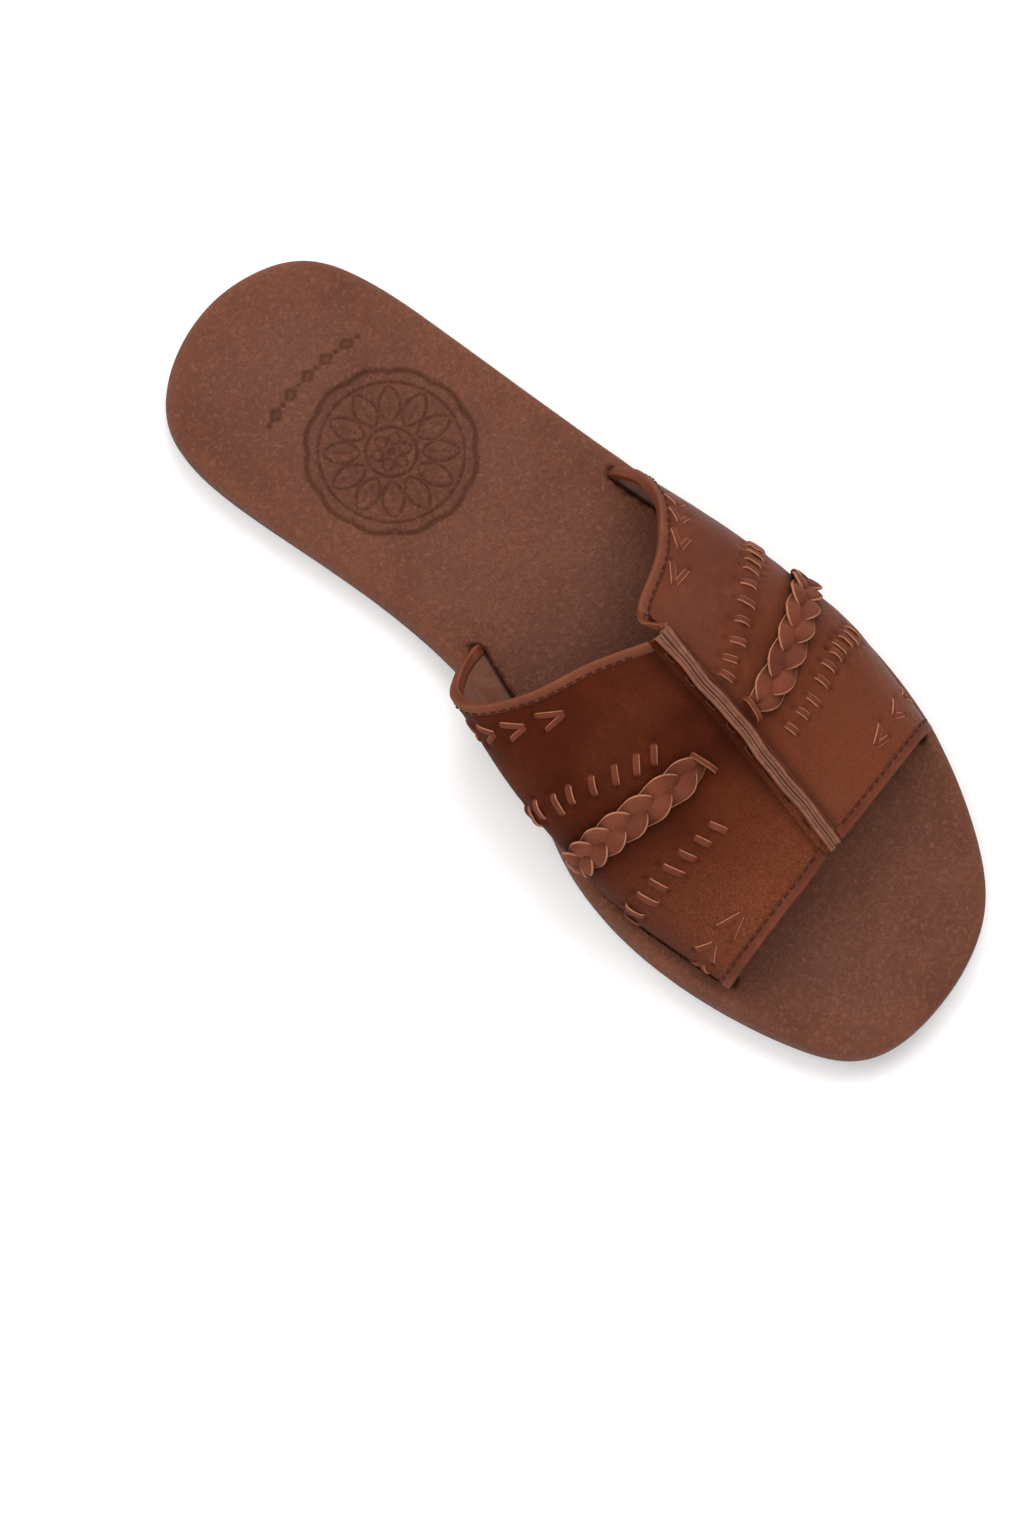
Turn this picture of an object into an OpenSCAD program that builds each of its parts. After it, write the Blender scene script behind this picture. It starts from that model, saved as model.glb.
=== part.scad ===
// Leather slide sandal, left foot.
// Toe points to -Y, heel to +Y, outer side of the foot to +X, the ground is z = 0.
// The strap is two leather panels, each with a lining, joined in a standing seam.

/* [Sole] */
// Thickness of the rubber outsole
outsole_t = 3.5; // [2.5:0.1:5]
// Top of the insole board above the ground
board_top = 7.5; // [6.5:0.1:9]
// Top of the foam footbed above the ground
foam_top = 10.7; // [9:0.1:13]
// Thickness of the leather that wraps the footbed
cover_t = 1.3; // [0.8:0.1:2]
// How far the outsole sits inside the wrapped edge
outsole_inset = 0.7; // [0:0.1:2]
// Width of the wrap that turns under the board
lip_w = 4.2; // [3:0.1:4.5]

/* [Strap] */
// Thickness of the outer leather
panel_t = 1.3; // [0.9:0.1:2]
// Thickness of the suede lining
lining_t = 0.9; // [0.6:0.1:1.5]
// Length of strap lasted under the board
tail = 13; // [8:1:20]
// Clearance on each side of the strap in its slot
slot_gap = 0.2; // [0.1:0.05:0.6]
// Bend radius where the panels turn up into the centre seam
seam_r = 1.8; // [1.5:0.1:3]
// Straight height of the centre seam above its bend
seam_h = 2.6; // [1:0.1:5]
// Thickness of the thin leather folded over the strap's edges
bind_t = 0.6; // [0.4:0.1:1]
// How far that fold reaches in from the edge
bind_w = 2.5; // [2:0.1:5]

/* [Lacing] */
// Width of the lace used for the hand stitching
lace_w = 1.6; // [1:0.1:3]
// Thickness of that lace
lace_t = 0.7; // [0.4:0.1:1.2]
// Share of its width that a lace keeps inside its holes
pinch = 0.4; // [0.2:0.05:1]
// Half the width of a braid, to the middle of its outer strand
braid_a = 3.7; // [2:0.1:5]
// Rise and fall of each strand
braid_b = 0.95; // [0.5:0.05:1.5]
// Crossings along a braid
braid_n = 8; // [4:1:12]

/* [Toe flex] */
// Where the sole bends, just in front of the strap
flex_y = -90; // [-95:1:-88]
// Half the gap between the two halves of each sole layer
flex_gap = 0.2; // [0.15:0.05:0.5]

/* [Hidden] */
$fn = 24;

cover_top = foam_top + cover_t;
tail_z = outsole_t + panel_t;

// ---------------------------------------------------------------- curves
function unit(v) = v / norm(v);
function cr(a, b, c, d, t) =
    0.5 * (2 * b + (c - a) * t + (2 * a - 5 * b + 4 * c - d) * t * t + (3 * b - a - 3 * c + d) * t * t * t);
// Smooth curve through the points of c, s from 0 to 1. f is the point before the first.
function through(c, s, f) =
    let (n = len(c) - 1,
         k = min(floor(min(max(s, 0), 1) * n), n - 1),
         t = min(max(s, 0), 1) * n - k,
         e = concat([f], c, [2 * c[n] - c[n - 1]]))
    cr(e[k], e[k + 1], e[k + 2], e[k + 3], t);
function curve(c, s) = through(c, s, 2 * c[0] - c[1]);

// ---------------------------------------------------------------- outline of the sole
// Control points of a closed cubic spline, from the big toe round by the outer side.
RIM = [[-30, -125], [-7, -127], [18, -121], [33, -100], [45, -75], [50, -40], [43, 1], [36, 72],
       [32, 114], [15, 125], [-6, 128], [-33, 116], [-34, 88], [-25, 41], [-27, -5], [-48, -35],
       [-50, -73], [-40, -110]];
rim_n = len(RIM);
rim_k = 4;
function rim_at(i, t) =
    let (a = RIM[i % rim_n], b = RIM[(i + 1) % rim_n], c = RIM[(i + 2) % rim_n], d = RIM[(i + 3) % rim_n])
    (a * pow(1 - t, 3) + b * (3 * t * t * t - 6 * t * t + 4)
     + c * (1 + 3 * t + 3 * t * t - 3 * t * t * t) + d * t * t * t) / 6;
function rim_dir(i, t) =
    let (a = RIM[i % rim_n], b = RIM[(i + 1) % rim_n], c = RIM[(i + 2) % rim_n], d = RIM[(i + 3) % rim_n])
    (-a * pow(1 - t, 2) + b * (3 * t * t - 4 * t) + c * (1 + 2 * t - 3 * t * t) + d * t * t) / 2;
// The outline moved inward by w.
function rim(w) = [for (i = [0 : rim_n - 1]) for (k = [0 : rim_k - 1])
    let (t = k / rim_k, d = unit(rim_dir(i, t))) rim_at(i, t) + w * [-d[1], d[0]]];

module plate(w, z0, z1) {
    translate([0, 0, z0]) linear_extrude(height = z1 - z0) polygon(rim(w));
}

// Stack of plates [inset, from, to] that rounds off an edge.
module stack(steps) {
    for (q = steps) plate(q[0], q[1], q[2]);
}

// Everything in front of the flex line, or behind it.
module toe_side() {
    translate([-100, -200, -5]) cube([200, 200 + flex_y - flex_gap, 60]);
}
module rear_side() {
    translate([-100, flex_y + flex_gap, -5]) cube([200, 300, 60]);
}

// ---------------------------------------------------------------- shape of the strap
// Each row runs from the slot up to the centre seam. The rows go from the rear edge to the front edge.
MED = [[[-20.5, 17, 12], [-29, 15, 18], [-35.5, 10.5, 25], [-35, 3, 33], [-26, -5, 40], [-12.5, -11, 45],
        [0.8, -18, 47.2]],
       [[-31, -17, 12], [-40, -18, 17.5], [-42.5, -20, 25], [-38, -24, 33], [-28, -30, 39], [-14, -36, 43],
        [-1.1, -40, 43.5]],
       [[-42.8, -51, 12], [-44.5, -51.5, 18], [-42.5, -52.5, 25], [-36, -55, 31], [-26, -58, 35],
        [-14, -60, 37.5], [-3.4, -61, 38]],
       [[-39.5, -85, 12], [-41, -85.5, 17], [-38.5, -85.3, 22.5], [-32, -84.8, 27], [-23, -84, 30],
        [-14, -83.3, 31.5], [-5.8, -82.3, 32]]];
LAT = [[[36, 23, 12], [37.5, 17.5, 19], [35.3, 12, 27], [31, 4.8, 33], [20, -4, 40.5], [5, -11, 46],
        [6.4, -18, 47.6]],
       [[40.5, -10.7, 12], [41.5, -12.5, 18], [40.3, -15, 26], [35, -20.5, 34], [25, -28, 39.9],
        [13, -36, 43.2], [4.5, -40, 43.5]],
       [[43.5, -44.3, 12], [44.3, -45, 18], [42.3, -46.5, 25], [36.2, -50, 31.5], [26.5, -55, 35.5],
        [14, -59, 37.5], [2.2, -61, 38]],
       [[38, -78, 12], [38.5, -78.3, 17], [36, -78.6, 22.5], [29.5, -79.3, 27], [20, -80.3, 30],
        [9, -81.3, 31.5], [-0.2, -82, 32]]];
function net(s) = s < 0 ? MED : LAT;

// Underside of the outer leather, u from slot to seam and v from rear to front.
function surf(s, u, v) = curve([for (r = net(s)) through(r, u, r[1] - [0, 0, 14])], v);
function nrm(s, u, v) =
    let (e = 0.01,
         a = surf(s, min(u + e, 1), v) - surf(s, max(u - e, 0), v),
         b = surf(s, u, min(v + e, 1)) - surf(s, u, max(v - e, 0)))
    unit(s * cross(a, b));
function on(s, u, v, h) = surf(s, u, v) + h * nrm(s, u, v);

// Direction from the slot towards the edge of the sole.
function out_dir(s, v) =
    let (d = surf(s, 0, min(v + 0.02, 1)) - surf(s, 0, max(v - 0.02, 0)))
    unit([-s * d[1], s * d[0], 0]);

// Stations [point, outward normal] from the lasted tail, up through the slot, over the foot
// and up the standing seam.
US = [0.04, 0.09, 0.15, 0.22, 0.3, 0.38, 0.46, 0.54, 0.62, 0.7, 0.78, 0.86, 0.93, 1];
VS = [0, 0.05, 0.13, 0.22, 0.31, 0.4, 0.49, 0.58, 0.67, 0.76, 0.86, 0.94, 1];
up_seam = unit([0, -0.25, 0.97]);
function stations(s, v) =
    let (p = surf(s, 0, v), o = out_dir(s, v), r = 1.3, z0 = tail_z + r,
         q = surf(s, 1, v),
         c = [p[0], p[1], z0] - r * o)
    concat(
        [[[p[0], p[1], tail_z] - tail * o, [0, 0, -1]],
         [[p[0], p[1], tail_z] - r * o, [0, 0, -1]]],
        [for (a = [30, 60]) [c + r * (sin(a) * o - [0, 0, cos(a)]), sin(a) * o - [0, 0, cos(a)]]],
        [[[p[0], p[1], z0], o], [[p[0], p[1], cover_top - 0.5], o], [p, o]],
        [for (u = US) [surf(s, u, v), nrm(s, u, v)]],
        [for (a = [30, 60, 90])
            [q + seam_r * (-s * sin(a) * [1, 0, 0] + (1 - cos(a)) * up_seam),
             s * sin(a) * [1, 0, 0] + cos(a) * up_seam]],
        [[q + seam_r * (-s * [1, 0, 0] + up_seam) + seam_h * up_seam, s * [1, 0, 0]]]);

// Closed sheet between two offsets of the strap's shape.
module sheet(s, h0, h1) {
    rows = [for (v = VS) stations(s, v)];
    nr = len(rows);
    nc = len(rows[0]);
    m = nr * nc;
    pts = concat([for (r = rows) for (p = r) p[0] + h1 * p[1]], [for (r = rows) for (p = r) p[0] + h0 * p[1]]);
    quads = concat(
        [for (i = [0 : nr - 2]) for (j = [0 : nc - 2]) let (a = i * nc + j) [a, a + 1, a + nc + 1, a + nc]],
        [for (i = [0 : nr - 2]) for (j = [0 : nc - 2])
            let (a = m + i * nc + j) [a, a + nc, a + nc + 1, a + 1]],
        [for (j = [0 : nc - 2]) [j, m + j, m + j + 1, j + 1]],
        [for (j = [0 : nc - 2]) let (a = (nr - 1) * nc + j) [a, a + 1, m + a + 1, m + a]],
        [for (i = [0 : nr - 2]) let (a = i * nc) [a, a + nc, m + a + nc, m + a]],
        [for (i = [0 : nr - 2]) let (a = i * nc + nc - 1) [a, m + a, m + a + nc, a + nc]]);
    tris = [for (q = quads) each [[q[0], q[1], q[2]], [q[0], q[2], q[3]]]];
    polyhedron(points = pts, faces = s < 0 ? tris : [for (t = tris) [t[2], t[1], t[0]]]);
}

// Solid swept through sections of equal length, each a ring of points.
module sweep(rings, turn = false) {
    n = len(rings[0]);
    m = len(rings);
    pts = [for (r = rings) each r];
    side = [for (i = [0 : m - 2]) for (j = [0 : n - 1]) let (k = (j + 1) % n)
        each [[i * n + j, (i + 1) * n + k, i * n + k], [i * n + j, (i + 1) * n + j, (i + 1) * n + k]]];
    caps = [for (j = [1 : n - 2]) each [[0, j, j + 1], [(m - 1) * n, (m - 1) * n + j + 1, (m - 1) * n + j]]];
    tris = concat(side, caps);
    polyhedron(points = pts, faces = turn ? tris : [for (t = tris) [t[2], t[1], t[0]]]);
}

// Section of a lace at p, from half its width b and half its thickness m.
function section(p, b, m) = [p - b - m, p + b - m, p + b + m, p - b + m];
// Flat lace along stations [point, up], w wide and t thick.
function heading(c, i) = unit(c[min(i + 1, len(c) - 1)][0] - c[max(i - 1, 0)][0]);
function strip(c, w, t) = [for (i = [0 : len(c) - 1])
    let (d = heading(c, i), b = unit(cross(d, c[i][1])))
    section(c[i][0], w / 2 * b, t / 2 * cross(b, d))];
// Oval cord along the same stations, with eight sides.
function cord(c, w, t) = [for (i = [0 : len(c) - 1])
    let (d = heading(c, i), b = unit(cross(d, c[i][1])), n = cross(b, d), p = c[i][0])
    [for (a = [0 : 45 : 315]) p + w / 2 * cos(a) * b + t / 2 * sin(a) * n]];

// ---------------------------------------------------------------- slots
module slot(s, w0, w1, z0, z1, v0 = 0, v1 = 1, ext = 0.3) {
    k = 14;
    a = [for (i = [0 : k]) let (v = v0 + (v1 - v0) * i / k) [surf(s, 0, v), out_dir(s, v)]];
    e0 = unit(a[0][0] - a[1][0]) * ext;
    e1 = unit(a[k][0] - a[k - 1][0]) * ext;
    line = concat([[a[0][0] + e0, a[0][1]]], a, [[a[k][0] + e1, a[k][1]]]);
    side0 = [for (q = line) let (p = q[0] + w0 * q[1]) [p[0], p[1]]];
    side1 = [for (i = [len(line) - 1 : -1 : 0]) let (p = line[i][0] + w1 * line[i][1]) [p[0], p[1]]];
    translate([0, 0, z0]) linear_extrude(height = z1 - z0) polygon(concat(side0, side1));
}
module strap_slots(z0, z1) {
    for (s = [-1, 1]) slot(s, -lining_t - slot_gap, panel_t + slot_gap, z0, z1);
}
module tail_pockets() {
    for (s = [-1, 1])
        slot(s, -tail - 0.5, panel_t + slot_gap + 0.1, outsole_t - 1, tail_z + lining_t + 0.1, ext = 0.5);
}

// ---------------------------------------------------------------- sole
module outsole() {
    plate(outsole_inset, 0.8, outsole_t);
    plate(outsole_inset + 0.8, 0, 0.8);
}
module outsole_toe() {
    color([0.13, 0.08, 0.06]) intersection() { outsole(); toe_side(); }
}
module outsole_rear() {
    color([0.13, 0.08, 0.06]) intersection() { outsole(); rear_side(); }
}

module insole_board() {
    difference() {
        union() {
            plate(cover_t, outsole_t + cover_t, board_top);
            plate(lip_w + 0.2, outsole_t, outsole_t + cover_t + 0.5);
        }
        strap_slots(outsole_t - 1, board_top + 1);
        tail_pockets();
    }
}
module insole_board_toe() {
    color([0.62, 0.5, 0.36]) intersection() { insole_board(); toe_side(); }
}
module insole_board_rear() {
    color([0.62, 0.5, 0.36]) intersection() { insole_board(); rear_side(); }
}

module foam_shape() {
    stack([[cover_t, board_top, foam_top - 2], [cover_t + 0.35, foam_top - 2, foam_top - 1.2],
           [cover_t + 0.9, foam_top - 1.2, foam_top - 0.6], [cover_t + 1.8, foam_top - 0.6, foam_top]]);
}
module foam_pad() {
    difference() {
        foam_shape();
        strap_slots(board_top - 1, foam_top + 1);
    }
}
module foam_pad_toe() {
    color([0.8, 0.75, 0.62]) intersection() { foam_pad(); toe_side(); }
}
module foam_pad_rear() {
    color([0.8, 0.75, 0.62]) intersection() { foam_pad(); rear_side(); }
}

module footbed_cover() {
    difference() {
        stack([[0.5, outsole_t, outsole_t + 0.8], [0, outsole_t + 0.8, cover_top - 3.2],
               [0.3, cover_top - 3.2, cover_top - 2.2], [0.8, cover_top - 2.2, cover_top - 1.4],
               [1.5, cover_top - 1.4, cover_top - 0.8], [2.3, cover_top - 0.8, cover_top - 0.35],
               [3.3, cover_top - 0.35, cover_top]]);
        plate(cover_t, outsole_t + cover_t, board_top);
        foam_shape();
        plate(lip_w, outsole_t - 1, outsole_t + cover_t + 0.5);
        strap_slots(outsole_t - 1, cover_top + 1);
    }
}
module footbed_cover_toe() {
    color([0.42, 0.22, 0.16]) intersection() { footbed_cover(); toe_side(); }
}
module footbed_cover_rear() {
    color([0.42, 0.22, 0.16]) intersection() { footbed_cover(); rear_side(); }
}

// ---------------------------------------------------------------- strap
module vamp_panel_medial() {
    color([0.4, 0.16, 0.07]) sheet(-1, 0, panel_t);
}
module vamp_panel_lateral() {
    color([0.4, 0.16, 0.07]) sheet(1, 0, panel_t);
}
module vamp_lining_medial() {
    color([0.6, 0.38, 0.27]) sheet(-1, -lining_t, 0);
}
module vamp_lining_lateral() {
    color([0.6, 0.38, 0.27]) sheet(1, -lining_t, 0);
}

// Thin leather folded round an edge: e is 0 for the rear edge and 1 for the front edge.
module binding(s, e) {
    us = concat([0.02], US);
    h0 = -lining_t - 0.12;
    h1 = panel_t + 0.12;
    sg = e == 0 ? -1 : 1;
    rings = [for (u = us)
        let (p = surf(s, u, e), n = nrm(s, u, e), q = surf(s, u, e == 0 ? 0.05 : 0.94),
             nq = nrm(s, u, e == 0 ? 0.05 : 0.94), d = unit(p - q), k = min(bind_w / norm(p - q), 1),
             a = p + (q - p) * k, na = unit(n + (nq - n) * k), x = 0.1 * d)
        [a + h1 * na, p + x + h1 * n, p + x + h0 * n, a + h0 * na,
         a + (h0 - bind_t) * na, p + (h0 - bind_t) * n + 0.1 * d, p + (h0 - 0.2) * n + (bind_t + 0.03) * d,
         p + (h1 + 0.2) * n + (bind_t + 0.03) * d, p + (h1 + bind_t) * n + 0.1 * d, a + (h1 + bind_t) * na]];
    n = 10;
    m = len(rings);
    side = [for (i = [0 : m - 2]) for (j = [0 : n - 1]) let (k = (j + 1) % n)
        each [[i * n + j, (i + 1) * n + k, i * n + k], [i * n + j, (i + 1) * n + j, (i + 1) * n + k]]];
    cap = [[0, 1, 8], [0, 8, 9], [1, 7, 8], [1, 2, 7], [2, 6, 7], [2, 5, 6], [2, 3, 5], [3, 4, 5]];
    last = (m - 1) * n;
    tris = concat(side, cap, [for (t = cap) [last + t[2], last + t[1], last + t[0]]]);
    turn = s * sg < 0;
    polyhedron(points = [for (r = rings) each r], faces = turn ? [for (t = tris) [t[2], t[1], t[0]]] : tris);
}
module rear_binding_medial() {
    color([0.58, 0.32, 0.19]) binding(-1, 0);
}
module rear_binding_lateral() {
    color([0.58, 0.32, 0.19]) binding(1, 0);
}
module front_binding_medial() {
    color([0.45, 0.2, 0.1]) binding(-1, 1);
}
module front_binding_lateral() {
    color([0.45, 0.2, 0.1]) binding(1, 1);
}

// Place on the strap w in from its rear (e 0) or front (e 1) edge, at height h.
function edge_on(s, u, e, w, h) =
    let (v = e == 0 ? 0.05 : 0.94, p = surf(s, u, e), q = surf(s, u, v), n = nrm(s, u, e),
         k = min(w / norm(q - p), 1), m = unit(n + (nrm(s, u, v) - n) * k))
    [p + (q - p) * k + h * m, m];
// Machine stitches along an edge: up over the fold, down into the panel.
module edge_thread(s, e, n) {
    hi = panel_t + bind_t + 0.25;
    lo = 0.6;
    pts = [for (i = [0 : n - 1]) let (du = 0.86 / n, u = 0.06 + i * du)
        each [[u, lo], [u + 0.12 * du, hi], [u + 0.6 * du, hi], [u + 0.72 * du, lo]]];
    sweep(cord([for (p = pts) edge_on(s, p[0], e, 0.78 * bind_w, p[1])], 0.5, 0.5));
}
module rear_thread_medial() {
    color([0.2, 0.08, 0.05]) edge_thread(-1, 0, 14);
}
module rear_thread_lateral() {
    color([0.2, 0.08, 0.05]) edge_thread(1, 0, 14);
}
module front_thread_medial() {
    color([0.2, 0.08, 0.05]) edge_thread(-1, 1, 12);
}
module front_thread_lateral() {
    color([0.2, 0.08, 0.05]) edge_thread(1, 1, 12);
}

// Thread that sews the four layers of the standing seam together.
module centre_seam_thread() {
    n = 12;
    w = panel_t + lining_t + 0.2;
    function mid(v) = (surf(-1, 1, v) + surf(1, 1, v)) / 2 + (seam_r + 1.1) * up_seam;
    pts = [for (i = [0 : n - 1]) let (v = 0.05 + 0.9 * i / n, dv = 0.9 / n, x = i % 2 == 0 ? -w : w)
        each [mid(v) + [x, 0, 0], mid(v + 0.8 * dv) + [x, 0, 0]]];
    color([0.3, 0.14, 0.08]) sweep(cord([for (p = pts) [p, up_seam]], 0.5, 0.5));
}

// ---------------------------------------------------------------- hand lacing
// Places along the strap run from 0 at the slot to 1 at the seam, and from 0 at the rear edge to 1 at the front.

// Sections of one stroke that leaves the hole at a and enters the hole at c, each [u, v].
// turn is 1 or -1: which face of the lace is outward. back is 1 where the hidden run before the stroke
// comes from ahead of it, -1 where it comes from behind.
function stroke(s, a, c, w, t, turn, back) =
    let (d = unit(surf(s, c[0], c[1]) - surf(s, a[0], a[1])),
         hi = panel_t + t / 2 + 0.05,
         na = nrm(s, a[0], a[1]),
         nc = nrm(s, c[0], c[1]),
         ea = turn * pinch * w / 2 * unit(cross(d, na)),
         ec = turn * pinch * w / 2 * unit(cross(d, nc)))
    concat(
        [section(on(s, a[0], a[1], 0.25 * panel_t), ea, -turn * 0.3 * t * unit(d + back * na)),
         section(on(s, a[0], a[1], 0.7 * panel_t), ea, -turn * 0.3 * t * d)],
        [for (q = [[0.14, 0], [0.5, 0.2], [0.86, 0]])
            let (x = a + q[0] * (c - a), n = nrm(s, x[0], x[1]))
            section(on(s, x[0], x[1], hi + q[1]), turn * w / 2 * unit(cross(d, n)), turn * t / 2 * n)],
        [section(on(s, c[0], c[1], 0.7 * panel_t), ec, turn * 0.3 * t * d),
         section(on(s, c[0], c[1], 0.25 * panel_t), ec, turn * 0.3 * t * unit(d - nc))]);

// Section halfway along a hidden run from the hole at a to the hole at c.
function under(s, a, c, w, t, turn) =
    let (x = (a + c) / 2, n = nrm(s, x[0], x[1]), d = unit(surf(s, c[0], c[1]) - surf(s, a[0], a[1])))
    section(on(s, x[0], x[1], 0.42 * panel_t),
            -turn * pinch * w / 2 * unit(cross(d, n)), -turn * 0.3 * t * n);

// Row of slanted whip stitches with an upper hole at each of us, along a line from v0 to v1.
// Each stitch is vs long and leans by lean.
module whip(s, us, v0, v1, vs, lean) {
    n = len(us);
    from = [for (i = [0 : n - 1]) [us[i], v0 + (v1 - v0) * i / (n - 1)]];
    step = [lean, vs];
    sweep([for (i = [0 : n - 1]) each concat(
        i == 0 ? [] : [under(s, from[i - 1] + step, from[i], lace_w, lace_t, 1)],
        stroke(s, from[i], from[i] + step, lace_w, lace_t, 1, 1))]);
}
module rear_whip_lace_medial() {
    us = [0.26, 0.32, 0.4, 0.49, 0.56, 0.63, 0.7, 0.76, 0.81];
    color([0.5, 0.24, 0.13]) whip(-1, us, 0.34, 0.328, 0.072, -0.045);
}
module rear_whip_lace_lateral() {
    us = [0.34, 0.39, 0.44, 0.49, 0.54, 0.6, 0.66, 0.73, 0.79, 0.86, 0.93];
    color([0.5, 0.24, 0.13]) whip(1, us, 0.33, 0.27, 0.072, -0.014);
}
module front_whip_lace_medial() {
    us = [0.14, 0.25, 0.36, 0.455, 0.54, 0.615, 0.69, 0.75];
    color([0.5, 0.24, 0.13]) whip(-1, us, 0.695, 0.635, 0.062, 0.02);
}
module front_whip_lace_lateral() {
    us = [0.38, 0.43, 0.48, 0.53, 0.58, 0.64, 0.7, 0.77, 0.835, 0.9];
    color([0.5, 0.24, 0.13]) whip(1, us, 0.66, 0.575, 0.066, -0.014);
}

// Row of arrows with a tip at each of us. Each is two strokes, k long and w apart at their open ends.
// The run to the next arrow lies inside the leather and passes behind the tip.
module arrows(s, us, v, k, w) {
    lw = 0.8 * lace_w;
    lt = 0.8 * lace_t;
    sweep([for (i = [0 : len(us) - 1])
        let (tip = [us[i], v], a = tip - [k, w], c = tip + [-k, w], b = tip + 0.2 * (c - tip))
        each concat(
            i == 0 ? [] : [under(s, [us[i - 1] - k, v + w], a, lw, lt, -1)],
            stroke(s, a, tip, lw, lt, 1, -1),
            [under(s, tip, b, lw, lt, 1)],
            stroke(s, b, c, lw, lt, -1, -1))]);
}
module rear_arrow_lace_medial() {
    color([0.5, 0.24, 0.13]) arrows(-1, [0.38, 0.48, 0.59, 0.705], 0.103, 0.078, 0.036);
}
module rear_arrow_lace_lateral() {
    color([0.5, 0.24, 0.13]) arrows(1, [0.43, 0.525, 0.62, 0.725], 0.075, 0.062, 0.037);
}
module front_arrow_lace_medial() {
    color([0.5, 0.24, 0.13]) arrows(-1, [0.21, 0.395, 0.58], 0.915, 0.122, 0.029);
}
module front_arrow_lace_lateral() {
    color([0.5, 0.24, 0.13]) arrows(1, [0.34, 0.5, 0.665], 0.905, 0.09, 0.026);
}

// Middle line of a braid: [first u, last u, v at the start, change of v, bow].
BRAID = [[0.19, 0.87, 0.54, -0.085, 0.07], [0.24, 0.94, 0.52, -0.075, 0.1]];
function braid_u(s, t) = let (b = BRAID[s < 0 ? 0 : 1]) b[0] + (b[1] - b[0]) * t;
function braid_v(s, t) = let (b = BRAID[s < 0 ? 0 : 1]) b[2] + b[3] * t + b[4] * t * (1 - t);
// One of the three strands of a braid laid over a panel.
module braid(s, j) {
    k = 8;
    base = panel_t + lace_t + braid_b + 0.35;
    pts = [for (i = [0 : braid_n * k])
        let (t = i / (braid_n * k), u = braid_u(s, t), v = braid_v(s, t),
             a = 360 * (braid_n / 3) * t + 120 * j,
             q = surf(s, u, v), n = nrm(s, u, v),
             d = unit(surf(s, u + 0.01, v) - q), b = cross(n, d),
             squeeze = min(1, 0.45 + 5 * t, 0.45 + 5 * (1 - t)))
        [q + (base + braid_b * sin(2 * a)) * n + s * braid_a * squeeze * sin(a) * b, n]];
    sweep(cord(pts, 3.4, 1.5));
}
module braid_strand_medial_1() {
    color([0.46, 0.21, 0.11]) braid(-1, 0);
}
module braid_strand_medial_2() {
    color([0.43, 0.19, 0.1]) braid(-1, 1);
}
module braid_strand_medial_3() {
    color([0.49, 0.23, 0.12]) braid(-1, 2);
}
module braid_strand_lateral_1() {
    color([0.46, 0.21, 0.11]) braid(1, 0);
}
module braid_strand_lateral_2() {
    color([0.43, 0.19, 0.1]) braid(1, 1);
}
module braid_strand_lateral_3() {
    color([0.49, 0.23, 0.12]) braid(1, 2);
}

// Short lace loop that holds a braid down, t along it.
module braid_tie(s, t) {
    u = braid_u(s, t);
    v = braid_v(s, t);
    w = 0.05;
    hi = panel_t + lace_t + 2 * braid_b + 1.75;
    n = nrm(s, u, v);
    f = unit(surf(s, u, v + w) - surf(s, u, v - w));
    pts = [[v - w, panel_t / 2, -f], [v - w, panel_t + 1.2, n - 2 * f], [v - 0.6 * w, hi - 0.3, 2 * n - f],
           [v, hi, n],
           [v + 0.6 * w, hi - 0.3, 2 * n + f], [v + w, panel_t + 1.2, n + 2 * f], [v + w, panel_t / 2, f]];
    color([0.5, 0.24, 0.13])
        sweep(strip([for (p = pts) [on(s, u, p[0], p[1]), unit(p[2])]], lace_w, lace_t));
}
module braid_tie_medial_outer() {
    braid_tie(-1, 0.04);
}
module braid_tie_medial_inner() {
    braid_tie(-1, 0.97);
}
module braid_tie_lateral_outer() {
    braid_tie(1, 0.04);
}
module braid_tie_lateral_inner() {
    braid_tie(1, 0.97);
}

outsole_toe();
outsole_rear();
insole_board_toe();
insole_board_rear();
foam_pad_toe();
foam_pad_rear();
footbed_cover_toe();
footbed_cover_rear();
vamp_panel_medial();
vamp_panel_lateral();
vamp_lining_medial();
vamp_lining_lateral();
rear_binding_medial();
rear_binding_lateral();
front_binding_medial();
front_binding_lateral();
rear_thread_medial();
rear_thread_lateral();
front_thread_medial();
front_thread_lateral();
centre_seam_thread();
rear_whip_lace_medial();
rear_whip_lace_lateral();
front_whip_lace_medial();
front_whip_lace_lateral();
rear_arrow_lace_medial();
rear_arrow_lace_lateral();
front_arrow_lace_medial();
front_arrow_lace_lateral();
braid_strand_medial_1();
braid_strand_medial_2();
braid_strand_medial_3();
braid_strand_lateral_1();
braid_strand_lateral_2();
braid_strand_lateral_3();
braid_tie_medial_outer();
braid_tie_medial_inner();
braid_tie_lateral_outer();
braid_tie_lateral_inner();
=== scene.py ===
import math
import bpy
import numpy as np
from mathutils import Matrix, Vector
from mathutils.geometry import delaunay_2d_cdt


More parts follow.
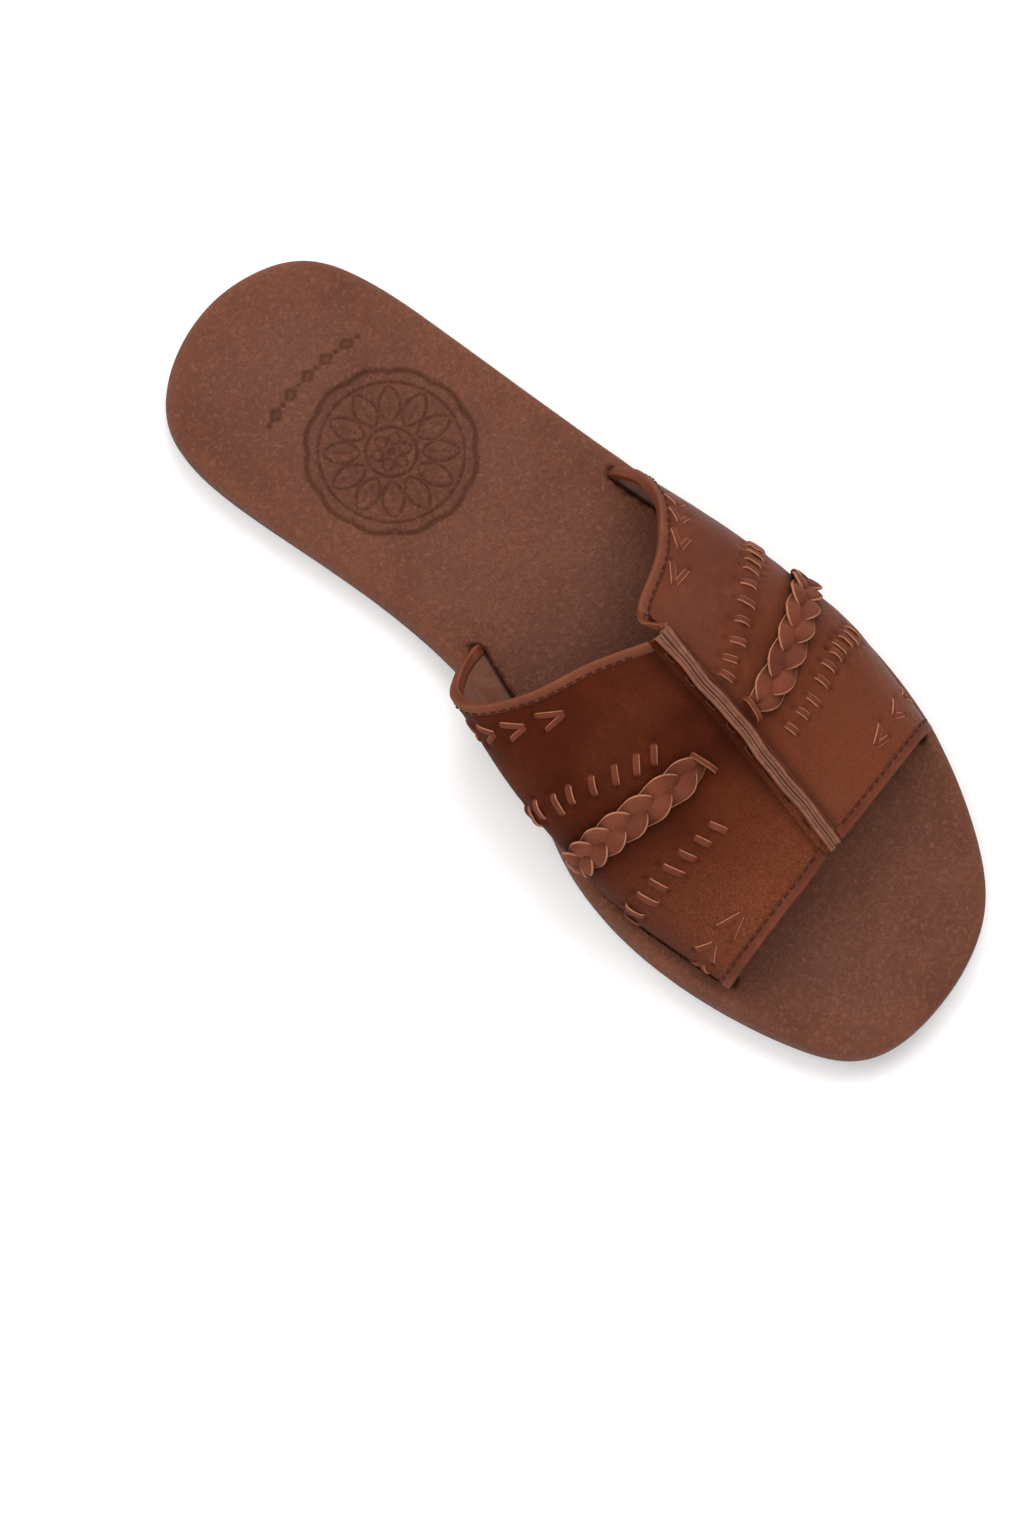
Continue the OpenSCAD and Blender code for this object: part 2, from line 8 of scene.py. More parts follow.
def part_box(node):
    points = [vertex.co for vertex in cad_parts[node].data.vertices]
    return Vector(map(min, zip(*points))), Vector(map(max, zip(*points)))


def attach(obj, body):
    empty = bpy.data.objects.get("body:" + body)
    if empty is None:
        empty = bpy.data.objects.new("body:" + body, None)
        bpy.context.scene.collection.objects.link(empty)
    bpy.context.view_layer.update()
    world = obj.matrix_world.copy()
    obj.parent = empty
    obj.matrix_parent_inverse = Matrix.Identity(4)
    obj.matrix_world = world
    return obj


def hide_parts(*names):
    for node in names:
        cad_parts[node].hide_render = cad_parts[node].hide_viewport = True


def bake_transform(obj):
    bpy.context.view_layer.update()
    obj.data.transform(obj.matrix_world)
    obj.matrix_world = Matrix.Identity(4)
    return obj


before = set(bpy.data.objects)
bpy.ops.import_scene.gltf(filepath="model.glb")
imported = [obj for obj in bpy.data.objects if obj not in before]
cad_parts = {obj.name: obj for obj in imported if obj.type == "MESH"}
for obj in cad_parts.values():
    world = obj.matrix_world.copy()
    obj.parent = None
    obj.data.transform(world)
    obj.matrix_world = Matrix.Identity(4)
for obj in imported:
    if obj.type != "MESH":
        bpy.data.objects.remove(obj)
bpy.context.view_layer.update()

# Everything below is in millimetres, in the shared frame: toe to -Y, outer side to +X, ground at z = 0.
# The curves repeat those of part.scad, and the sole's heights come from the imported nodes.
MM = 0.001
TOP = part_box("footbed_cover_rear")[1].z / MM
BOARD_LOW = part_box("insole_board_rear")[0].z / MM
BOARD_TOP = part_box("insole_board_rear")[1].z / MM
FOAM_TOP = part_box("foam_pad_rear")[1].z / MM
PANEL, LINING = 1.3, 0.9  # thickness of the strap's outer leather and of its lining
BIND, LACE = 0.3, 0.5  # thickness of the edge binding and of a lace
BIND_WIDTH = 2.5
COVER = TOP - FOAM_TOP  # thickness of the footbed's leather
TAIL_Z = BOARD_LOW + PANEL  # height of the strap's tails under the board
SEAM_R, SEAM_H = 1.8, 2.6  # bend at the foot of the centre seam, and its height above the bend
UP_SEAM = np.array([0, -0.25, 0.97]) / np.linalg.norm([0, -0.25, 0.97])
ACROSS = np.array([1.0, 0, 0])
UP = np.array([0, 0, 1.0])
SIDES = {"medial": -1, "lateral": 1}


# ---------- small tools
def unit(a):
    return a / np.maximum(np.linalg.norm(a, axis=-1, keepdims=True), 1e-9)


def smooth(a, b, x):
    """0 at a and 1 at b, with a soft step between them."""
    t = np.clip((x - a) / (b - a), 0, 1)
    return t * t * (3 - 2 * t)


def along(path):
    """Distance along a path at each of its points."""
    return np.concatenate([[0], np.cumsum(np.linalg.norm(np.diff(path, axis=0), axis=1))])


def at_lengths(t, s, values):
    """Rows of values, known at lengths s, at the lengths t."""
    return np.stack([np.interp(t, s, column) for column in values.T], 1)


def bell(x, r):
    """1 at x = 0, falling off over a distance of about r."""
    return np.exp(-(x / r) ** 2)


SCATTER = (374761393, 668265263, 2147483647, 1274126177)  # large odd numbers
WORD = 0xFFFFFFFF


def lattice(ix, iy, iz, seed):
    """A fixed, scattered value between -1 and 1 for each lattice point."""
    h = (ix * SCATTER[0] + iy * SCATTER[1] + iz * SCATTER[2] + seed * SCATTER[3]) & WORD
    h = ((h ^ (h >> 13)) * SCATTER[3]) & WORD
    return ((h ^ (h >> 16)) & 0xFFFF) / 32767.5 - 1


def noise(p, size, seed=0):
    """Smooth noise between -1 and 1 with features of that size in mm."""
    q = np.asarray(p, float) / size
    i = np.floor(q).astype(np.int64)
    f = q - i
    f = f * f * (3 - 2 * f)
    out = 0
    for corner in np.ndindex(2, 2, 2):
        share = np.where(corner, f, 1 - f).prod(-1)
        out = out + share * lattice(*np.moveaxis(i + corner, -1, 0), seed)
    return out


def waves(p, *terms):
    """Sum of noises at p, each given as height, size and seed."""
    return sum(height * noise(p, size, seed) for height, size, seed in terms)


def near(p, pts, r):
    """Sum of soft bumps of radius r round the points pts, at p."""
    out = np.zeros(p.shape[:-1])
    for q in pts:
        out += np.exp(-((p - q) ** 2).sum(-1) / (r * r))
    return out


def make(name, verts, faces, mats, index=None, **attrs):
    """Mesh object, smooth shaded, with a material index for each face and named values for its points."""
    me = bpy.data.meshes.new(name)
    me.from_pydata((np.asarray(verts) * MM).tolist(), [], [list(map(int, f)) for f in faces])
    for m in mats:
        me.materials.append(m)
    if index is not None:
        me.polygons.foreach_set("material_index", np.asarray(index, np.int32))
    me.polygons.foreach_set("use_smooth", [True] * len(me.polygons))
    for key, values in attrs.items():
        a = me.attributes.new(key, "FLOAT", "POINT")
        a.data.foreach_set("value", np.asarray(values, np.float32))
    me.validate()
    me.update()
    o = bpy.data.objects.new(name, me)
    bpy.context.scene.collection.objects.link(o)
    return o


def tube(rings, strip=False):
    """Closed mesh through rings (M, K, 3): vertices, faces, and each face's place round its ring.
    The ends are one face each (place -1), or a strip of quads across a thin section."""
    m, k, _ = rings.shape
    i, j = np.meshgrid(np.arange(m - 1), np.arange(k), indexing="ij")
    a = i * k + j
    b = i * k + (j + 1) % k
    quads = np.stack([a, b, b + k, a + k], -1).reshape(-1, 4)
    last = (m - 1) * k
    if strip:
        ends = [[c, k - 1 - c, k - 2 - c, c + 1] for c in range(k // 2 - 1)]
        ends += [[last + c for c in reversed(f)] for f in ends]
    else:
        ends = [list(range(k - 1, -1, -1)), list(range(last, last + k))]
    place = np.concatenate([j.reshape(-1), np.full(len(ends), -1)])
    return rings.reshape(-1, 3), quads.tolist() + ends, place


def bands(n, count):
    """Quads between count rings of n points each."""
    a = np.arange(n)
    b = (a + 1) % n
    faces = []
    for j in range(count - 1):
        faces += (np.stack([a, b, b + n, a + n], 1) + j * n).tolist()
    return faces


# ---------- outline of the sole
# Control points of a closed spline, anticlockwise from the toe
RIM = np.array([[-30, -125], [-7, -127], [18, -121], [33, -100], [45, -75], [50, -40], [43, 1], [36, 72],
                [32, 114], [15, 125], [-6, 128], [-33, 116], [-34, 88], [-25, 41], [-27, -5], [-48, -35],
                [-50, -73], [-40, -110]], float)
RIM_STEPS = 3600


def rim_line(n):
    """n points evenly along the outline, with their inward directions."""
    s = np.linspace(0, len(RIM), RIM_STEPS + 1)[:-1]
    i = s.astype(int)
    t = (s - i)[:, None]
    spline = ((1 - t) ** 3, 3 * t ** 3 - 6 * t * t + 4, 1 + 3 * t + 3 * t * t - 3 * t ** 3, t ** 3)
    p = sum(RIM[(i + k) % len(RIM)] * w for k, w in enumerate(spline)) / 6
    closed = np.vstack([p, p[:1]])
    length = along(closed)
    q = at_lengths(np.arange(n) / n * length[-1], length, closed)
    t = unit(np.roll(q, -1, 0) - np.roll(q, 1, 0))
    return q, np.stack([-t[:, 1], t[:, 0]], 1)


def inside(pts, poly):
    x, y = pts[:, 0][:, None], pts[:, 1][:, None]
    a, b = poly, np.roll(poly, -1, 0)
    straddles = (a[:, 1] > y) != (b[:, 1] > y)
    crossing = (b[:, 0] - a[:, 0]) * (y - a[:, 1]) / (b[:, 1] - a[:, 1] + 1e-12) + a[:, 0]
    return (straddles & (x < crossing)).sum(1) % 2 == 1


def away(pts, line, chunk=4000):
    """Distance from each point to the nearest point of a finely sampled line, chunk points at a time."""
    out = np.full(len(pts), np.inf)
    for k in range(0, len(pts), chunk):
        d = pts[k:k + chunk, None] - line[None]
        out[k:k + chunk] = np.sqrt((d ** 2).sum(-1).min(1))
    return out


# ---------- shape of the strap
# Points on the joint of leather and lining. Rows go from the rear edge to the front edge (v from 0 to 1),
# and along a row they go from the slot in the footbed to the centre seam (u from 0 to 1).
NETS = {
    -1: [[[-20.5, 17, 12], [-29, 15, 18], [-35.5, 10.5, 25], [-35, 3, 33],
          [-26, -5, 40], [-12.5, -11, 45], [0.8, -18, 47.2]],
         [[-31, -17, 12], [-40, -18, 17.5], [-42.5, -20, 25], [-38, -24, 33],
          [-28, -30, 39], [-14, -36, 43], [-1.1, -40, 43.5]],
         [[-42.8, -51, 12], [-44.5, -51.5, 18], [-42.5, -52.5, 25], [-36, -55, 31],
          [-26, -58, 35], [-14, -60, 37.5], [-3.4, -61, 38]],
         [[-39.5, -85, 12], [-41, -85.5, 17], [-38.5, -85.3, 22.5], [-32, -84.8, 27],
          [-23, -84, 30], [-14, -83.3, 31.5], [-5.8, -82.3, 32]]],
    1: [[[36, 23, 12], [37.5, 17.5, 19], [35.3, 12, 27], [31, 4.8, 33],
         [20, -4, 40.5], [5, -11, 46], [6.4, -18, 47.6]],
        [[40.5, -10.7, 12], [41.5, -12.5, 18], [40.3, -15, 26], [35, -20.5, 34],
         [25, -28, 39.9], [13, -36, 43.2], [4.5, -40, 43.5]],
        [[43.5, -44.3, 12], [44.3, -45, 18], [42.3, -46.5, 25], [36.2, -50, 31.5],
         [26.5, -55, 35.5], [14, -59, 37.5], [2.2, -61, 38]],
        [[38, -78, 12], [38.5, -78.3, 17], [36, -78.6, 22.5], [29.5, -79.3, 27],
         [20, -80.3, 30], [9, -81.3, 31.5], [-0.2, -82, 32]]]}
NET_RISE = np.array([0, 0, 14])  # how steeply each row leaves its first point, straight up


def padded_net(rows):
    """The net with one more point past each border, for the spline's ends."""
    n = np.array(rows, float)
    n = np.concatenate([(n[:, 1] - NET_RISE)[:, None], n, (2 * n[:, -1] - n[:, -2])[:, None]], 1)
    return np.concatenate([(2 * n[0] - n[1])[None], n, (2 * n[-1] - n[-2])[None]], 0)


GRIDS = {side: padded_net(rows) for side, rows in NETS.items()}


def spline_weights(s, n):
    """Span and the four weights of a Catmull-Rom spline with n spans, at s from 0 to 1."""
    s = np.clip(s, 0, 1) * n
    k = np.minimum(s.astype(int), n - 1)
    t = s - k
    w = [-t + 2 * t * t - t ** 3, 2 - 5 * t * t + 3 * t ** 3, t + 4 * t * t - 3 * t ** 3, -t * t + t ** 3]
    return k, 0.5 * np.stack(w, -1)


def surf(side, u, v):
    """Point of the strap at u and v."""
    u, v = np.broadcast_arrays(np.asarray(u, float), np.asarray(v, float))
    g = GRIDS[side]
    kv, wv = spline_weights(v, g.shape[0] - 3)
    ku, wu = spline_weights(u, g.shape[1] - 3)
    out = 0
    for a in range(4):
        for b in range(4):
            out = out + (wv[..., a] * wu[..., b])[..., None] * g[kv + a, ku + b]
    return out


def normal(side, u, v, e=0.006):
    """Outward direction of the strap at u and v."""
    u, v = np.asarray(u, float), np.asarray(v, float)
    a = surf(side, np.minimum(u + e, 1), v) - surf(side, np.maximum(u - e, 0), v)
    b = surf(side, u, np.minimum(v + e, 1)) - surf(side, u, np.maximum(v - e, 0))
    return unit(side * np.cross(a, b))


def out_dir(side, v, e=0.02):
    """Level direction away from the foot where the strap meets the footbed."""
    d = surf(side, 0, np.minimum(v + e, 1)) - surf(side, 0, np.maximum(v - e, 0))
    return unit(np.stack([-side * d[..., 1], side * d[..., 0], 0 * d[..., 0]], -1))


# ---------- hand lacing, in strap coordinates
# side, the upper holes' u, the first and last upper hole's v, stitch length in v, lean in u
WHIPS = {
    "rear_whip_lace_medial": (-1, [0.26, 0.32, 0.40, 0.49, 0.56, 0.63, 0.70, 0.76, 0.81],
                              0.34, 0.328, 0.072, -0.045),
    "rear_whip_lace_lateral": (1, [0.34, 0.39, 0.44, 0.49, 0.54, 0.60, 0.66, 0.73, 0.79, 0.86, 0.93],
                               0.33, 0.27, 0.072, -0.014),
    "front_whip_lace_medial": (-1, [0.14, 0.25, 0.36, 0.455, 0.54, 0.615, 0.69, 0.75],
                               0.695, 0.635, 0.062, 0.02),
    "front_whip_lace_lateral": (1, [0.38, 0.43, 0.48, 0.53, 0.58, 0.64, 0.70, 0.77, 0.835, 0.90],
                                0.66, 0.575, 0.066, -0.014)}
# side, the tips' u, their v, length in u, half width in v
ARROWS = {
    "rear_arrow_lace_medial": (-1, [0.38, 0.48, 0.59, 0.705], 0.103, 0.078, 0.036),
    "rear_arrow_lace_lateral": (1, [0.43, 0.525, 0.62, 0.725], 0.075, 0.062, 0.037),
    "front_arrow_lace_medial": (-1, [0.21, 0.395, 0.58], 0.915, 0.122, 0.029),
    "front_arrow_lace_lateral": (1, [0.34, 0.50, 0.665], 0.905, 0.09, 0.026)}
# first u, last u, v, its change, its bow
BRAIDS = {-1: (0.19, 0.87, 0.54, -0.085, 0.07), 1: (0.24, 0.94, 0.52, -0.075, 0.1)}
# u, v, half length in u and in v, height of the arch
TIES = {-1: {"outer": (0.205, 0.538, 0.012, 0.032, 2.0), "inner": (0.876, 0.468, 0.011, 0.052, 2.0)},
        1: {"outer": (0.262, 0.52, 0.006, 0.02, 1.1), "inner": (0.952, 0.445, 0.012, 0.05, 2.0)}}
ROW_SIDE = {name: row[0] for name, row in {**WHIPS, **ARROWS}.items()}
rng = np.random.RandomState(7)


def whip_stitches(name):
    """Each stitch's two holes (u, v), a little uneven."""
    _, us, v0, v1, length, lean = WHIPS[name]
    out = []
    for i, u in enumerate(us):
        ju, jv, js = rng.uniform(-1, 1, 3)
        u += 0.004 * ju
        v = v0 + (v1 - v0) * i / (len(us) - 1) + 0.005 * jv
        out.append(((u, v), (u + lean + 0.006 * js, v + length * (1 + 0.1 * js))))
    return out


def arrow_strokes(name):
    """Each arrow's three points (u, v), a little uneven: one arm, the tip, the other arm."""
    _, us, v, length, half = ARROWS[name]
    out = []
    for u in us:
        ju, jv, jw = rng.uniform(-1, 1, 3)
        c = v + 0.004 * jv
        arm = (u - length * (1 + 0.08 * ju), c - half * (1 + 0.1 * jw))
        out.append((arm, (u, c), (u - length * (1 - 0.12 * jw), c + half)))
    return out


def braid_route(side, t):
    """(u, v) along the braid."""
    u0, u1, v0, change, bow = BRAIDS[side]
    return u0 + (u1 - u0) * t, v0 + change * t + bow * t * (1 - t)


STITCHES = {name: whip_stitches(name) for name in WHIPS}
STROKES = {name: arrow_strokes(name) for name in ARROWS}
# Where the lacing pierces the leather, and the whip stitches' middles
HOLES, MIDS = {-1: [], 1: []}, {-1: [], 1: []}
for name, groups in {**STITCHES, **STROKES}.items():
    side = ROW_SIDE[name]
    for g in groups:
        ends = surf(side, [g[0][0], g[-1][0]], [g[0][1], g[-1][1]])
        if name in STITCHES:
            d = unit(ends[1] - ends[0])
            ends = [ends[0] - 0.5 * d, ends[1] + 0.2 * d]
            MIDS[side].append(surf(side, (g[0][0] + g[1][0]) / 2, (g[0][1] + g[1][1]) / 2))
        HOLES[side] += list(ends)
BRAID_LINE = {side: surf(side, *braid_route(side, np.linspace(0, 1, 15))) for side in BRAIDS}
for side, line in BRAID_LINE.items():
    HOLES[side] += [line[0], line[-1]]


def relief(side, p):
    """How far the soft leather stands off its plain shape at p, along the normal."""
    h = waves(p, (0.26, 17, 3), (0.14, 7, 5), (0.06, 3, 9))
    h -= 0.4 * np.minimum(near(p, HOLES[side], 1.0), 1.2)
    pucker = np.minimum(near(p, MIDS[side], 3.4), 1.3) * noise(p, 2.3, 11)
    h += 0.3 * np.minimum(near(p, MIDS[side], 3.0), 1.3) + 0.32 * pucker
    h -= 0.25 * np.minimum(near(p, BRAID_LINE[side], 4.5), 1.0)
    return h * smooth(12.5, 17, p[..., 2])


# ---------- materials
def srgb(*rgb):
    """Linear colour from red, green and blue between 0 and 255."""
    parts = [c / 255 for c in rgb]
    return tuple(c / 12.92 if c <= 0.04045 else ((c + 0.055) / 1.055) ** 2.4 for c in parts) + (1.0,)


def tint(colour, k):
    """The colour, k times as bright."""
    return tuple(min(1, c * k) for c in colour[:3]) + (1.0,)


class Nodes:
    """A material in the making. Textures follow the object's own coordinates, in millimetres."""
    def __init__(self, name):
        self.m = bpy.data.materials.new(name)
        self.m.use_nodes = True
        self.t = self.m.node_tree
        self.t.nodes.clear()
        self.b = self.t.nodes.new("ShaderNodeBsdfPrincipled")
        out = self.t.nodes.new("ShaderNodeOutputMaterial")
        self.put(out.inputs[0], self.b.outputs[0])
        self.co = self.stretched(self.t.nodes.new("ShaderNodeTexCoord").outputs["Object"], (1000, 1000, 1000))

    def put(self, socket, value):
        """Feeds a socket from another node's output, or sets it to a constant."""
        if hasattr(value, "is_output"):
            self.t.links.new(value, socket)
        else:
            socket.default_value = value

    def set(self, **kw):
        for key, value in kw.items():
            self.put(self.b.inputs[key.replace("_", " ")], value)

    def new(self, kind, **sockets):
        n = self.t.nodes.new(kind)
        for key, value in sockets.items():
            self.put(n.inputs[key], value)
        return n

    def stretched(self, vector, factors):
        return self.new("ShaderNodeMapping", Vector=vector, Scale=factors).outputs[0]

    def noise(self, per_mm, detail=3.0, rough=0.55, distort=0.0, stretch=None):
        co = self.stretched(self.co, stretch) if stretch else self.co
        return self.new("ShaderNodeTexNoise", Vector=co, Scale=per_mm, Detail=detail, Roughness=rough,
                        Distortion=distort).outputs[0]

    def cells(self, per_mm):
        """Distance to the edges of small cells."""
        n = self.new("ShaderNodeTexVoronoi", Vector=self.co, Scale=per_mm)
        n.feature = "DISTANCE_TO_EDGE"
        return n.outputs["Distance"]

    def attr(self, name):
        n = self.new("ShaderNodeAttribute")
        n.attribute_name = name
        return n.outputs["Fac"]

    def ramp(self, value, lo, hi, a=0.0, b=1.0):
        """Soft step from a, where the value is lo, to b, where it is hi."""
        n = self.new("ShaderNodeMapRange")
        n.interpolation_type = "SMOOTHSTEP"
        self.put(n.inputs[0], value)
        for k, x in enumerate((lo, hi, a, b), 1):
            n.inputs[k].default_value = x
        return n.outputs[0]

    def math(self, op, a, b):
        n = self.new("ShaderNodeMath")
        n.operation = op
        self.put(n.inputs[0], a)
        self.put(n.inputs[1], b)
        return n.outputs[0]

    def mix(self, share, a, b):
        """Colour a, with a share of colour b. Sockets 6 and 7, and output 2, are the node's colours."""
        n = self.new("ShaderNodeMix")
        n.data_type = "RGBA"
        n.clamp_factor = True
        self.put(n.inputs[0], share)
        self.put(n.inputs[6], a)
        self.put(n.inputs[7], b)
        return n.outputs[2]

    def bump(self, height, depth, after=None):
        n = self.new("ShaderNodeBump", Distance=depth * MM, Height=height)
        if after is not None:
            self.put(n.inputs["Normal"], after)
        return n.outputs[0]


def leather(name, base, deep, warm, cool, rough=(0.55, 0.68), grain=0.04, crease=0.08, specular=0.15,
            mottle=0.4, cloud=0.6, faded=None, speckle=None):
    """Grained leather, with a range of roughness and the depths of its grain and creases in mm.
    The mesh may carry 'cavity' (painted shade in hollows, holes, creases and under other parts), 'wear'
    (rubbed edges together with painted highlights), 'cast' (a painted greyish reflection) and 'fade' (painted
    light, lighter towards the vamp's front, with random unevenness)."""
    n = Nodes(name)
    big = n.noise(0.045, 3, 0.55, 0.6)
    mid = n.noise(0.16, 4, 0.6, 0.4)
    fine = n.noise(1.5, 3, 0.6)
    pores = n.ramp(n.cells(1.15), 0.02, 0.3)
    col = n.mix(n.ramp(big, 0.32, 0.68), deep, base)
    col = n.mix(n.ramp(mid, 0.45, 0.75, 0, cloud), col, warm)
    # painted light: the colour turns lighter where the mesh asks for it, towards the vamp's front
    if faded:
        col = n.mix(n.attr("fade"), col, faded)
    # painted sheen: a greyish reflection colour mixed in where the mesh asks for it
    col = n.mix(n.math("MULTIPLY", n.attr("cast"), n.ramp(mid, 0.25, 0.7, 0.6, 1.0)), col, cool)
    col = n.mix(n.ramp(n.noise(0.6, 3, 0.65), 0.4, 0.7, 0.0, 0.5 * mottle), col, deep)
    col = n.mix(n.ramp(fine, 0.35, 0.75, 0.0, mottle), col, deep)
    if speckle:
        col = n.mix(n.ramp(n.noise(0.75, 5, 0.75, 0.5), 0.5, 0.64, 0.0, 0.6), col, speckle)
    col = n.mix(n.math("MULTIPLY", n.math("SUBTRACT", 1.0, pores), 0.28), col, deep)
    # painted shade: hollows, holes and creases darkened almost to black
    col = n.mix(n.attr("cavity"), col, tint(deep, 0.22))
    # rubbed edges and painted highlights, in a lighter warm colour
    col = n.mix(n.attr("wear"), col, tint(warm, 1.9))
    uneven = n.math("ADD", n.math("MULTIPLY", mid, 0.6), n.math("MULTIPLY", fine, 0.4))
    dull = n.math("MULTIPLY", n.attr("cavity"), 0.4)
    creases = n.bump(n.noise(0.42, 5, 0.62, 1.2), crease)
    grained = n.math("ADD", n.math("MULTIPLY", pores, 0.7), n.math("MULTIPLY", fine, 0.6))
    n.set(Base_Color=col, Roughness=n.math("ADD", n.ramp(uneven, 0.3, 0.7, *rough), dull),
          Normal=n.bump(grained, grain, after=creases), Specular_IOR_Level=specular)
    return n.m


def suede(name, base, light):
    n = Nodes(name)
    nap = n.noise(2.2, 4, 0.7)
    brushed = n.noise(0.12, 3, 0.6, 1.0)
    col = n.mix(n.ramp(brushed, 0.3, 0.7), base, light)
    col = n.mix(n.ramp(nap, 0.35, 0.7, 0, 0.35), col, tint(base, 0.55))
    # painted shade in the lining's hollows and under other parts
    col = n.mix(n.attr("cavity"), col, tint(base, 0.35))
    n.set(Base_Color=col, Roughness=n.ramp(nap, 0.3, 0.7, 0.82, 0.95), Specular_IOR_Level=0.15,
          Sheen_Weight=0.08, Sheen_Roughness=0.6, Normal=n.bump(nap, 0.08))
    return n.m


def raw_edge(name, base, dark):
    """Cut leather: fibres in layers."""
    n = Nodes(name)
    fibre = n.noise(1.1, 5, 0.75, 0.0, (1.0, 0.35, 1.0))
    blotch = n.noise(0.25, 3, 0.6)
    col = n.mix(n.ramp(fibre, 0.35, 0.66), dark, base)
    col = n.mix(n.ramp(blotch, 0.4, 0.7, 0, 0.5), col, tint(base, 1.25))
    n.set(Base_Color=col, Roughness=n.ramp(fibre, 0.3, 0.7, 0.75, 0.95), Specular_IOR_Level=0.25,
          Normal=n.bump(fibre, 0.08))
    return n.m


def twisted(name, base, light):
    """Waxed sewing thread."""
    n = Nodes(name)
    ply = n.noise(2.5, 2, 0.5)
    n.set(Base_Color=n.mix(n.ramp(ply, 0.3, 0.7), base, light), Roughness=n.ramp(ply, 0.3, 0.7, 0.6, 0.75),
          Specular_IOR_Level=0.1, Normal=n.bump(ply, 0.08))
    return n.m


def pressed(name, base, light, per_mm, depth, rough):
    """Rubber, board or foam: a fine grain over soft patches ten times its size."""
    n = Nodes(name)
    grain = n.noise(per_mm, 4, 0.6)
    patches = n.noise(per_mm * 0.1, 3, 0.5)
    col = n.mix(n.ramp(patches, 0.35, 0.65), base, light)
    col = n.mix(n.ramp(grain, 0.4, 0.7, 0, 0.3), col, tint(base, 0.5))
    n.set(Base_Color=col, Roughness=n.ramp(grain, 0.3, 0.7, rough - 0.08, rough + 0.08),
          Normal=n.bump(grain, depth))
    return n.m


# Each leather's colours: base, deep, warm, then the colour of its painted sheen
M_FOOTBED = leather("footbed_leather", srgb(108, 66, 49), srgb(86, 49, 35), srgb(125, 71, 45),
                    srgb(104, 71, 62), rough=(0.6, 0.75), grain=0.1, crease=0.18, specular=0.12,
                    mottle=1.0, cloud=0.5, speckle=srgb(124, 80, 65))
VAMP = {"rough": (0.5, 0.62), "grain": 0.05, "crease": 0.14}
# Lit and shaded copies of one leather: the medial copy is much darker, as painted shade for the side turned
# away from the key light, and the lateral copy lighter; each turns lighter towards the front as painted
# light.
M_VAMP = {"medial": leather("vamp_leather_medial", srgb(68, 24, 6), srgb(56, 17, 4), srgb(82, 32, 10),
                            srgb(80, 48, 40), specular=0.04, faded=srgb(112, 60, 38), **VAMP),
          "lateral": leather("vamp_leather_lateral", srgb(96, 45, 22), srgb(80, 33, 14), srgb(112, 55, 29),
                             srgb(112, 82, 74), specular=0.1, faded=srgb(106, 54, 32), **VAMP)}
# colour of the painted sheen on the front fold, the laces and the braid
SHEEN = srgb(104, 74, 64)
M_BIND = leather("binding_leather", srgb(104, 54, 33), srgb(86, 42, 25), srgb(116, 66, 43), srgb(106, 76, 64),
                 rough=(0.6, 0.72), grain=0.05, crease=0.1)
M_FRONT = leather("front_fold_leather", srgb(98, 47, 28), srgb(80, 35, 19), srgb(118, 62, 38), SHEEN)
M_LACE = leather("lace_leather", srgb(88, 38, 21), srgb(72, 27, 14), srgb(104, 50, 29), SHEEN)
M_BRAID = leather("braid_leather", srgb(98, 49, 32), srgb(80, 35, 21), srgb(113, 61, 41), SHEEN,
                  rough=(0.62, 0.75), grain=0.07, specular=0.12)
M_LINING = suede("lining_suede", srgb(104, 62, 44), srgb(124, 78, 58))
M_RAW = raw_edge("raw_edge", srgb(120, 77, 59), srgb(100, 60, 45))
# cut edges of the laces, braid and ties: their cut-edge colour, made much lighter than the strap's raw edge
# as a painted highlight
M_LACE_EDGE = raw_edge("lace_edge", srgb(160, 106, 78), srgb(138, 86, 62))
M_THREAD = twisted("dark_thread", srgb(44, 18, 12), srgb(70, 34, 22))
M_SEAM_THREAD = twisted("seam_thread", srgb(60, 28, 18), srgb(88, 50, 34))
M_RUBBER = pressed("outsole_rubber", srgb(40, 27, 22), srgb(52, 36, 29), 1.2, 0.1, 0.72)
M_BOARD = pressed("insole_board", srgb(150, 122, 92), srgb(176, 148, 112), 0.8, 0.05, 0.85)
M_FOAM = pressed("foam", srgb(206, 196, 166), srgb(224, 216, 190), 1.6, 0.15, 0.9)

# ---------- slots and flat faces
SLOT_OUT, SLOT_IN = PANEL + 0.1, LINING + 0.02  # how far a slot reaches out and in from the strap's joint
# A slot's end, across from one wall to the other and along past the strap's edge
SLOT_END = [(0.93, 0.35), (0.7, 0.75), (0.38, 1.0), (0, 1.08), (-0.38, 1.0), (-0.7, 0.75), (-0.93, 0.35)]


def slot_loop(side, grow, n=90):
    """Closed outline of a slot, grown by that many mm and drawn out past each edge of the strap."""
    v = np.linspace(0, 1, n)
    line = surf(side, 0, v)[:, :2]
    out = out_dir(side, v)[:, :2]
    middle = (SLOT_OUT - SLOT_IN) / 2
    half = (SLOT_OUT + SLOT_IN) / 2 + grow
    ends = []
    for k, first, last, reach in ((-1, out[-1], line[-2], 0.5), (0, -out[0], line[1], 0.8)):
        centre = line[k] + middle * out[k]
        ahead = (reach + 0.6 * grow) * unit(line[k] - last)
        ends.append(np.array([centre + half * x * first + y * ahead for x, y in SLOT_END]))
    wall_out = line + (SLOT_OUT + grow) * out
    wall_in = line - (SLOT_IN + grow) * out
    return np.vstack([wall_out, ends[0], wall_in[::-1], ends[1]])


def slot_line(side):
    """Points along the middle of a slot, from the rear to the front."""
    v = np.linspace(0, 1, 120)
    return (surf(side, 0, v) + 0.2 * out_dir(side, v))[:, :2]


SLOT_LINE = {side: slot_line(side) for side in (-1, 1)}


